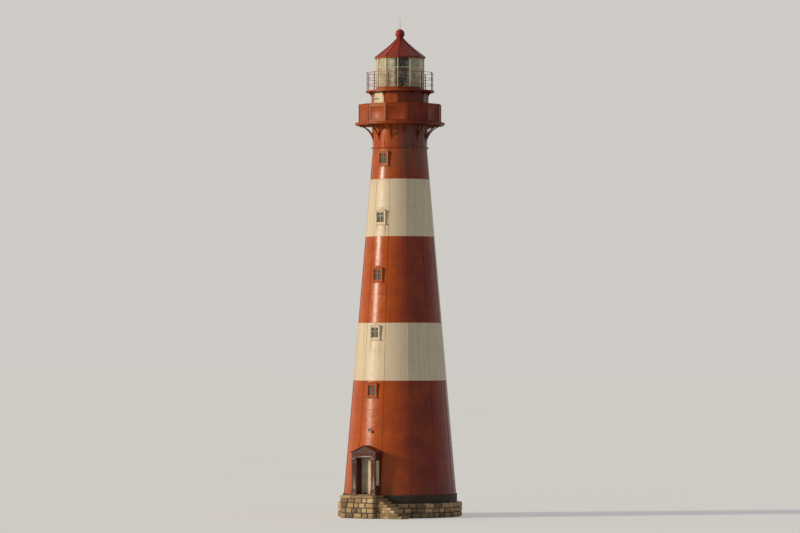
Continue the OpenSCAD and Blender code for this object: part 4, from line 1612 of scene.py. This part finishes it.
@dataclass
class Entrance(Assembly):
    """Portal, panelled door and lamp.

    Attributes:
        jamb_x: Sideways place of a jamb's middle.
        foot: Size of a jamb's moulded foot, and its middle's Y and height.
        head: The same of the lowest step of a jamb's head.
        jamb_field: The same of the sunk field of a jamb.
        frieze: The same of the sunk field of the lintel.
        board: Size of a board on the portal's flank.
        board_at: Distance of its middle sideways, and its Y and height.
        portal_y: Distance of the portal's front from the axis.
        bolt_holes: Sideways places and heights of the bolts in a jamb.
        lintel_hole: The same of the bolts in the lintel.
        panel: Width and height of a door panel.
        panel_x: Sideways place of a panel's middle.
        rail: Height of the door's rails between panels.
        bead_sunk: How far the panels' moulding lies behind the leaf's faces.
        keyhole: Size of a keyhole.
        keyhole_drop: Drop from a knob to its keyhole.
        plate: Size of a keyhole plate.
        kick: Size of a kicking plate.
        kick_rise: Height of its middle over the leaf's foot.
        rose: Profile of the plate under a knob: radius and height.
    """

    jamb_x: float = 0.7575
    foot: tuple[Point, Span] = ((0.405, 0.06, 0.30), (-4.135, 1.62))
    head: tuple[Point, Span] = ((0.395, 0.05, 0.05), (-4.130, 3.72))
    jamb_field: tuple[Point, Span] = ((0.255, 0.016, 1.72), (-4.124, 2.73))
    frieze: tuple[Point, Span] = ((1.50, 0.018, 0.20), (-4.125, 4.04))
    board: Point = (0.014, 0.30, 1.60)
    board_at: Point = (0.940, -3.87, 2.92)
    portal_y: float = 4.120
    bolt_holes: Holes = ((-0.915, 0.915), (1.95, 2.45, 2.95, 3.45))
    lintel_hole: Span = (0.86, 4.04)
    panel: Span = (0.324, 0.5933)
    panel_x: float = 0.227
    rail: float = 0.13
    bead_sunk: float = 0.012
    keyhole: Point = (0.007, 0.0125, 0.022)
    keyhole_drop: float = 0.13
    plate: Point = (0.036, 0.005, 0.085)
    kick: Point = (0.90, 0.004, 0.10)
    kick_rise: float = 0.065
    rose: Profile = ((0.0, 0.0), (0.038, 0.0), (0.038, 0.004),
                     (0.028, 0.008), (0.016, 0.012), (0.0, 0.012))

    def build(self) -> None:
        """Dress the entrance and add its mouldings and ironmongery."""
        self.coat(PORTAL, "portal_jambs", "portal_head")
        self.coat(LEAF_PAINT, "door_leaf")
        self.coat(DOOR_PAINT, "door_frame")
        self.coat(LAMP, "door_lamp")
        self.mouldings()
        self.flank_boards()
        self.portal_bolts()
        self.panel_beads()
        self.ironmongery()

    def mouldings(self) -> None:
        """Add the moulded feet, heads and sunk fields of the portal."""
        parts = []
        for x in (-self.jamb_x, self.jamb_x):
            size, at = self.foot
            foot = Shape.block(size, (x, *at)).inset(UP, border=0.018, depth=0.022)
            foot.inset(FRONT, border=0.045, depth=-0.010).bevelled(0.004, segments=2)
            size, at = self.head
            head = Shape.block(size, (x, *at)).extruded(UP, 0.05).inset(UP, border=-0.018)
            head.extruded(UP, 0.045).bevelled(0.004, segments=2)
            parts += [foot, head, self.sunk_field(self.jamb_field, x, depth=-0.010)]
        parts.append(self.sunk_field(self.frieze, 0, depth=-0.011))
        self.keep(Shape.joined(parts).closed(), "portal_mouldings", PORTAL, Slot.RED)

    def sunk_field(self, board: tuple[Point, Span], x: float, depth: float) -> Shape:
        """Model a sunk field of the portal.

        Args:
            board: Its size, and its middle's Y and height.
            x: Sideways place of its middle.
            depth: How far its middle is sunk.

        Returns:
            The field.
        """
        size, at = board
        shape = Shape.block(size, (x, *at)).inset(FRONT, border=0.030, depth=depth)
        return shape.bevelled(0.003, segments=2)

    def flank_boards(self) -> None:
        """Fix a pale framed board to each flank of the portal."""
        board = Shape.block(self.board, (0.004, 0, 0)).inset(OUT, border=0.028)
        board.inset(OUT, border=0.008, depth=-0.007, area=0.1).bevelled(0.002)
        x, y, z = self.board_at
        boards = board.repeated([moved(x, y, z), moved(-x, y, z) @ spun(180)])
        self.keep(boards, "portal_flank_boards", DOOR_PAINT, Slot.CREAM)

    def portal_bolts(self) -> None:
        """Bolt the portal's front."""
        (sides, heights), (x, z) = self.bolt_holes, self.lintel_hole
        holes = [(side, height) for side in sides for height in heights] + [(-x, z), (x, z)]
        places = [around(self.portal_y, height, DOOR_SIDE) @ moved(side)
                  for side, height in holes]
        self.bolt("portal_bolts", PORTAL, Slot.RED, places, radius=0.015, height=0.014)

    def panel_beads(self) -> None:
        """Run a moulding round each panel, on both faces of the leaf."""
        (width, height), (front, back) = self.panel, LEAF_FACES
        bead = Shape.block((width, 0.010, height), (0, -0.005, 0))
        bead.inset(FRONT, border=0.016, depth=-0.007).inset(FRONT, border=0.045)
        bead.inset(FRONT, border=0.010, depth=0.006, area=0.05).bevelled(0.002)
        first = LEAF_FOOT + self.rail + height / 2
        middles = [(x, first + row * (height + self.rail))
                   for x in (-self.panel_x, self.panel_x) for row in range(3)]
        sides = ((front + self.bead_sunk, 0), (back - self.bead_sunk, 180))
        places = [moved(x, y, z) @ spun(turn) for y, turn in sides for x, z in middles]
        self.keep(bead.repeated(places), "door_panel_beads", DOOR_PAINT, Slot.DOOR, Body.DOOR)

    def ironmongery(self) -> None:
        """Add roses, keyholes with their plates, and kicking plates to both faces of the leaf."""
        (x, z), (front, back) = KNOB, LEAF_FACES
        facing = [moved(x, front, z) @ tipped(90, "X"), moved(x, back, z) @ tipped(-90, "X")]
        rose = Shape.turned(self.rose, 24).repeated(facing)
        holes = [moved(x, y, z - self.keyhole_drop) for y in LEAF_FACES]
        plate = Shape.block(self.plate)
        for way in (FRONT, BACK):
            plate.inset(way, border=0.006, depth=0.002)
        plate = plate.bevelled(0.0012).repeated(holes)
        kick = Shape.block(self.kick).bevelled(0.0012)
        kick = kick.repeated([moved(0, y, LEAF_FOOT + self.kick_rise) for y in LEAF_FACES])
        self.keep(Shape.joined([rose, plate, kick]), "door_roses_and_plates", METAL, Slot.BRONZE,
                  Body.DOOR)
        keyholes = Shape.block(self.keyhole).bevelled(0.002, segments=2).repeated(holes)
        self.keep(keyholes, "door_keyholes", IRONWORK, Slot.BRONZE, Body.DOOR)


@dataclass
class Gallery(Assembly):
    """Main gallery with its curved brackets, deck and panelled parapet.

    Attributes:
        face: Distance of the panels' outer face from the axis.
        walk: Inner and outer distance of the walk's floor plates from the axis.
        plate_h: Thickness of a floor plate.
        gap: Half the gap between floor plates.
        bead: Thickness, width and height of the frame on a panel.
        bead_z: Height of its middle.
        edge_bolts: Sideways places and heights of the bolts at a panel's posts.
        level_bolts: The same of the bolts at the deck and the handrail.
        nose: Radius of the deck's edge, the height of its bolts, and how far they are sunk.
    """

    face: float = 2.635
    walk: Span = (1.90, 2.58)
    plate_h: float = 0.012
    gap: float = 0.006
    bead: Point = (0.016, 1.09, 0.90)
    bead_z: float = 26.32
    edge_bolts: Holes = ((-0.60, 0.60), (25.90, 26.18, 26.46, 26.74))
    level_bolts: Holes = ((-0.36, -0.12, 0.12, 0.36), (25.81, 26.86))
    nose: Point = (2.951, 25.69, 0.012)

    def build(self) -> None:
        """Dress the gallery and bolt it together."""
        self.coat(PARAPET, "gallery_brackets", "parapet_posts", "parapet_panels",
                  "parapet_handrail", "gallery_deck")
        self.floor_plates()
        self.panel_beads()
        self.bolts()

    def floor_plates(self) -> None:
        """Lay the deck's chequered plates between drum and parapet, a bay each."""
        inner, outer = self.walk
        plate = Shape.block((outer - inner, 1.0, self.plate_h),
                            ((inner + outer) / 2, 0, DECK_Z + self.plate_h / 2))
        for way, edge in ((IN, inner), (OUT, outer)):
            half = edge * math.tan(math.radians(BAY / 2)) - self.gap
            plate.sized((1, 2 * half, 1), toward(way))
        plates = plate.bevelled(0.003).repeated(ring(FLATS, 0))
        self.keep(plates, "deck_tread_plates", PLATES, Slot.FLOOR)

    def panel_beads(self) -> None:
        """Frame each parapet panel with a bead and a sunk middle on its outer face."""
        bead = Shape.block(self.bead, (0, 0, self.bead_z)).inset(OUT, border=0.030)
        bead.inset(OUT, border=0.012, depth=-0.010, area=0.5).bevelled(0.003)
        beads = bead.repeated(ring(FLATS, self.face - 0.006))
        self.keep(beads, "parapet_panel_beads", PARAPET, Slot.RED)

    def bolts(self) -> None:
        """Bolt the panels to the posts, the deck and the handrail, and the deck's edge."""
        holes = [(x, z) for across, heights in (self.edge_bolts, self.level_bolts)
                 for x in across for z in heights]
        rim = [around(self.face, z, angle) @ moved(x) for angle in FLATS for x, z in holes]
        self.bolt("parapet_bolts", PARAPET, Slot.RED, rim, radius=0.013)
        radius, height, sunk = self.nose
        nose = [around(radius, height, angle) @ moved(z=-sunk) for angle in range(0, 360, 5)]
        self.bolt("deck_edge_bolts", PARAPET, Slot.RED, nose, radius=0.013, height=0.010)


@dataclass
class WatchRoom(Assembly):
    """Twelve-sided room under the lantern, with its door, brackets and upper walk.

    Attributes:
        face: Distance of a flat's outer face from the axis.
        strap: Thickness, width and height of a corner strap.
        strap_at: Distances of a strap's middle out from a flat and sideways, and its height.
        strap_bolts: Its bolts' distance out from its middle, and the rise from bolt to bolt.
        hinges: Heights of the gallery door's strap hinges.
        hinge: Size of a hinge's strap, and its distances out from the flat and sideways.
        pin: Radius and height of a hinge's pin, and its distances out and sideways.
        grip: Size of the door's grip, and its distance out from the flat.
        grip_at: Its sideways place and height.
        lug: Size of a lug that holds it, and the lug's distances out and up from the grip's middle.
        rail_r: Radius of the ring of rail posts.
        foot: Profile of the flange under a rail post, and its height.
        cap: Profile of the cap on a rail post, and its height.
    """

    face: float = 1.8063
    strap: Point = (0.010, 0.060, 1.58)
    strap_at: Point = (0.002, 0.452, 26.62)
    strap_bolts: Span = (0.004, 0.36)
    hinges: Span = (26.10, 27.30)
    hinge: tuple[Point, Span] = ((0.010, 0.36, 0.055), (0.004, -0.20))
    pin: tuple[Span, Span] = ((0.014, 0.10), (0.010, -0.386))
    grip: tuple[Point, float] = ((0.014, 0.016, 0.228), 0.040)
    grip_at: Span = (0.315, 26.78)
    lug: tuple[Point, Span] = ((0.036, 0.012, 0.012), (0.018, 0.095))
    rail_r: float = 2.169
    foot: tuple[Profile, float] = (((0.0, 0.0), (0.062, 0.0), (0.062, 0.010), (0.040, 0.016),
                                    (0.036, 0.030), (0.0, 0.030)), 27.879)
    cap: tuple[Profile, float] = (((0.0, 0.0), (0.030, 0.0), (0.034, 0.006), (0.030, 0.014),
                                   (0.016, 0.024), (0.0, 0.027)), 29.07)

    def build(self) -> None:
        """Dress the room and add straps, bolts and door fittings."""
        self.coat(DRUM_WALL, "drum_wall")
        self.coat(DRUM, "drum_brackets")
        self.coat(GALLERY_PAINT, "gallery_door")
        self.coat(PARAPET, "lantern_deck")
        self.coat(RAILING, "lantern_rail")
        self.straps()
        self.door_fittings()
        self.rail_fittings()

    def straps(self) -> None:
        """Cover both edges of each flat with bolted straps, except at the gallery door."""
        (out, across, z), (proud, rise) = self.strap_at, self.strap_bolts
        places = [spun(angle) @ moved(self.face + out, side * across, z)
                  for angle in CORNERS if angle != GALLERY_DOOR_SIDE + 360 for side in (-1, 1)]
        straps = Shape.block(self.strap).bevelled(0.003).repeated(places)
        self.keep(straps, "corner_straps", DRUM, Slot.RED)
        bolts = [place @ moved(proud, 0, rise * row) @ tipped(90, "Y")
                 for place in places for row in range(-2, 3)]
        self.bolt("corner_strap_bolts", DRUM, Slot.RED, bolts, radius=0.011)

    def door_fittings(self) -> None:
        """Hang the gallery door on strap hinges and give it a grip."""
        parts = []
        (size, (out, across)), ((radius, height), (pin_out, pin_across)) = self.hinge, self.pin
        for z in self.hinges:
            strap = Shape.block(size, (self.face + out, across, z))
            pin = Shape.bar(radius, height).bevelled(0.003)
            pin.placed(moved(self.face + pin_out, pin_across, z - height / 2))
            parts += [strap.extruded(BACK, 0.05).bevelled(0.003), pin]
        (size, out), (y, z) = self.grip, self.grip_at
        grip = Shape.block(size, (self.face + out, y, z))
        parts.append(grip.bevelled(0.003, segments=2))
        size, (out, up) = self.lug
        for rise in (-up, up):
            lug = Shape.block(size, (self.face + out, y, z + rise))
            parts.append(lug.bevelled(0.002, segments=2))
        fittings = Shape.joined(parts).closed().placed(spun(GALLERY_DOOR_SIDE))
        self.keep(fittings, "gallery_door_fittings", IRONWORK, Slot.IRON)

    def rail_fittings(self) -> None:
        """Cap the rail's posts and foot them with flanges."""
        parts = [Shape.turned(profile, 16).repeated(ring(CORNERS, self.rail_r, z=z))
                 for profile, z in (self.foot, self.cap)]
        self.keep(Shape.joined(parts), "rail_post_fittings", RAILING, Slot.IRON)


@dataclass
class Lantern(Assembly):
    """Glazed lantern with its lens.

    Attributes:
        corner: Radius of the glazing's corners.
        sill_z: Height of the sill's bolts.
        sill_bolts_x: Sideways places of them on a flat.
        glazing: Foot and head of the glazing.
        cover: Thickness and width of the bar on an upright, and its distance out.
        screws: Rise of the bar's lowest screw over the glazing's foot, from screw to screw, and
            their distance out.
        lens_ring: Inner radius, width and height of a ring round the lens.
        ring_feet: Heights of the rings.
    """

    corner: float = 1.585
    sill_z: float = 27.94
    sill_bolts_x: tuple[float, ...] = (-0.30, -0.10, 0.10, 0.30)
    glazing: Span = (28.10, 29.98)
    cover: Point = (0.016, 0.046, 0.002)
    screws: Point = (0.12, 0.205, 0.014)
    lens_ring: Point = (0.445, 0.035, 0.03)
    ring_feet: Span = (28.885, 29.245)

    def build(self) -> None:
        """Dress the lantern and add its bolts, bar covers and lens rings."""
        self.coat(DRUM, "lantern_sill", "lantern_cornice")
        self.coat(BARS, "lantern_bars")
        self.coat(GLAZING, "lantern_glass")
        self.coat(LENS, "lens")
        self.coat(LENS_METAL, "lens_pedestal")
        self.sill_bolts()
        self.bar_covers()
        self.lens_rings()

    def sill_bolts(self) -> None:
        """Bolt the sill to the deck's edge angle."""
        flat = self.corner * math.cos(math.radians(BAY / 2)) + 0.001
        bolts = [around(flat, self.sill_z, angle) @ moved(x)
                 for angle in CORNERS for x in self.sill_bolts_x]
        self.bolt("sill_bolts", DRUM, Slot.RED, bolts, radius=0.011)

    def bar_covers(self) -> None:
        """Cover each upright with a rounded bar, screwed through."""
        (low, high), (thick, width, out) = self.glazing, self.cover
        bar = Shape.block((thick, width, high - low - 0.02),
                          (self.corner + out, 0, (low + high) / 2))
        bar.inset(OUT, border=0.010, depth=0.006).bevelled(0.003, segments=2)
        self.keep(bar.repeated(ring(FLATS, 0)), "glazing_bar_covers", BARS, Slot.CREAM)
        first, step, out = self.screws
        screws = [around(self.corner + out, low + first + step * row, angle)
                  for angle in FLATS for row in range(9)]
        self.bolt("glazing_bar_screws", METAL, Slot.BRONZE, screws, radius=0.006, height=0.005)

    def lens_rings(self) -> None:
        """Hold the lens between two bronze rings."""
        inner, width, height = self.lens_ring
        outer = inner + width
        band = ((inner, 0), (outer, 0), (outer, height), (inner, height), (inner, 0))
        rings = Shape.turned(band, 48).bevelled(0.004)
        rings = rings.repeated([moved(z=z) for z in self.ring_feet])
        self.keep(rings, "lens_rings", LENS_METAL, Slot.BRONZE)


@dataclass
class Roof(Assembly):
    """Ribbed roof with its ball vent and rod.

    Attributes:
        eaves_z: Height of the eaves.
        eaves_r: Corner radius of the eaves.
        neck_r: Corner radius under the ball's neck.
        height: Height of the roof.
        hollow: How much its sides are hollowed.
        rivets_at: Share of the roof's height at the lowest rivet, and from rivet to rivet.
        rivets_out: How far the rivets stand out from the roof's corners.
        belt: Profile of the band round the ball.
        collar: Profile of the ring round its neck.
    """

    eaves_z: float = 30.08
    eaves_r: float = 1.69
    neck_r: float = 0.19
    height: float = 1.30
    hollow: float = 1.18
    rivets_at: Span = (0.06, 0.115)
    rivets_out: float = 0.037
    belt: Profile = ((0.300, 31.622), (0.309, 31.622), (0.3095, 31.645),
                     (0.309, 31.668), (0.300, 31.668), (0.300, 31.622))
    collar: Profile = ((0.155, 31.43), (0.176, 31.43), (0.184, 31.445),
                       (0.176, 31.46), (0.155, 31.46), (0.155, 31.43))

    def build(self) -> None:
        """Dress the roof and add its rivets and vent bands."""
        self.coat(ROOFING, "roof", "ball_vent")
        self.coat(METAL, "lightning_rod")
        self.rivets()
        self.vent_bands()

    def corner(self, share: float) -> tuple[float, float]:
        """Return the radius and height of a corner at a share of the roof's height."""
        radius = self.neck_r + (self.eaves_r - self.neck_r) * (1 - share) ** self.hollow
        return radius, self.eaves_z + self.height * share

    def rivets(self) -> None:
        """Rivet the ribs, square to their slope."""
        places = []
        first, step = self.rivets_at
        for angle in FLATS:
            for share in (first + row * step for row in range(8)):
                (r0, z0), (r1, z1) = self.corner(share - 0.02), self.corner(share + 0.02)
                lean = math.degrees(math.atan2(r0 - r1, z1 - z0))
                radius, height = self.corner(share)
                places.append(around(radius + self.rivets_out, height, angle, lean))
        self.bolt("roof_rib_rivets", ROOFING, Slot.ROOF, places, radius=0.011, height=0.010)

    def vent_bands(self) -> None:
        """Belt the ball and ring its neck."""
        bands = [Shape.turned(profile, 64) for profile in (self.belt, self.collar)]
        self.keep(Shape.joined(bands), "vent_bands", ROOFING, Slot.ROOF)


@dataclass
class Studio:
    """Pale floor, soft light and the camera.

    Attributes:
        azimuth: Degrees of the camera round the tower, 0 in front of the door.
        distance: Distance of the camera.
        eye: Height of the camera.
        aim: Height it looks at.
        tall: Height of the picture at the tower.
        aspect: Width of the picture for its height.
        sensor: Width of the camera's sensor in millimetres.
        sight: How far the camera sees.
        floor_size: Width of the floor.
        key_turn: Degrees of the key light from the camera, to the left.
        key_rise: Degrees of the key light above the floor.
        key_power: Strength of the key light.
        key_angle: Degrees of its disc, which softens its shadows.
        key_colour: Its colour.
        fill: Light from all round.
        back: Colour of the background.
        floor_share: Share of its light that the floor sends back.
    """

    azimuth: float = 35.0
    distance: float = 250.0
    eye: float = 10.5
    aim: float = 16.35
    tall: float = 35.0
    aspect: float = 1.5
    sensor: float = 36.0
    sight: float = 4000.0
    floor_size: float = 3000
    key_turn: float = 76.0
    key_rise: float = 14.0
    key_power: float = 2.8
    key_angle: float = 9.0
    key_colour: Colour = (1.0, 0.86, 0.68)
    fill: Colour = (0.255, 0.26, 0.26)
    back: Colour = (0.62, 0.60, 0.57)
    floor_share: float = 0.82

    def build(self) -> None:
        """Set the floor, the light and the camera."""
        floor = Shape.start(bpy.ops.mesh.primitive_plane_add, size=self.floor_size).piece
        floor.name = floor.data.name = "studio_floor"
        key = self.key_power * math.sin(math.radians(self.key_rise)) / math.pi
        lift = tuple(back - self.floor_share * (fill + key * part)
                     for back, fill, part in zip(self.back, self.fill, self.key_colour))
        floor.data.materials.append(Backdrop("studio_floor_paint", lift).material())
        self.world()
        self.key()
        self.camera()

    def toward(self, angle: float, rise: float = 0.0) -> Vector:
        """Return the direction at an angle round the tower, 0 in front of the door, and a rise."""
        turn, up = math.radians(angle), math.radians(rise)
        return Vector((math.sin(turn) * math.cos(up), -math.cos(turn) * math.cos(up), math.sin(up)))

    def world(self) -> None:
        """Light the object from all round, behind a pale background."""
        g = Graph(bpy.data.worlds.new("studio_world"))
        bpy.context.scene.world = g.owner
        seen = g.add("ShaderNodeLightPath", out="Is Camera Ray")
        rays = seen.socket.node.outputs
        for kind in ("Is Glossy Ray", "Is Transmission Ray"):
            seen = seen.math("MAXIMUM", Val(g, rays[kind]))
        light, back = (g.add("ShaderNodeBackground", None, {"Color": colour, "Strength": 1.0})
                       for colour in (self.fill, self.back))
        g.close(g.add("ShaderNodeMixShader", None, {0: seen, 1: light, 2: back}),
                "ShaderNodeOutputWorld")

    def key(self) -> None:
        """Hang the key light low on the left."""
        lamp = bpy.data.lights.new("studio_key", "SUN")
        lamp.energy, lamp.color = self.key_power, self.key_colour
        lamp.angle = math.radians(self.key_angle)
        light = bpy.data.objects.new("studio_key", lamp)
        towards = self.toward(self.azimuth - self.key_turn, self.key_rise)
        light.rotation_euler = towards.to_track_quat("Z", "Y").to_euler()
        bpy.context.collection.objects.link(light)

    def camera(self) -> None:
        """Stand the camera far off behind a long lens, as the photograph was taken."""
        lens = bpy.data.cameras.new("photo_camera")
        lens.sensor_width = self.sensor
        lens.lens = self.sensor * self.distance / (self.tall * self.aspect)
        lens.clip_end = self.sight
        eye = bpy.data.objects.new("photo_camera", lens)
        eye.location = self.toward(self.azimuth) * self.distance + Vector((0, 0, self.eye))
        look = Vector((0, 0, self.aim)) - eye.location
        eye.rotation_euler = look.to_track_quat("-Z", "Y").to_euler()
        bpy.context.collection.objects.link(eye)
        bpy.context.scene.camera = eye


def main() -> None:
    """Build the lighthouse group by group and set it in its studio."""
    settings = bpy.context.scene.view_settings
    settings.view_transform = "Standard"
    for group in (StoneBase(), Shaft(), Entrance(), Gallery(), WatchRoom(), Lantern(), Roof()):
        group.build()
        for name in group.made:
            LOG.info("%s: %s", type(group).__name__, name)
    Studio().build()


if __name__ == "__main__":
    logging.basicConfig(level=logging.INFO, format="%(message)s")
    main()
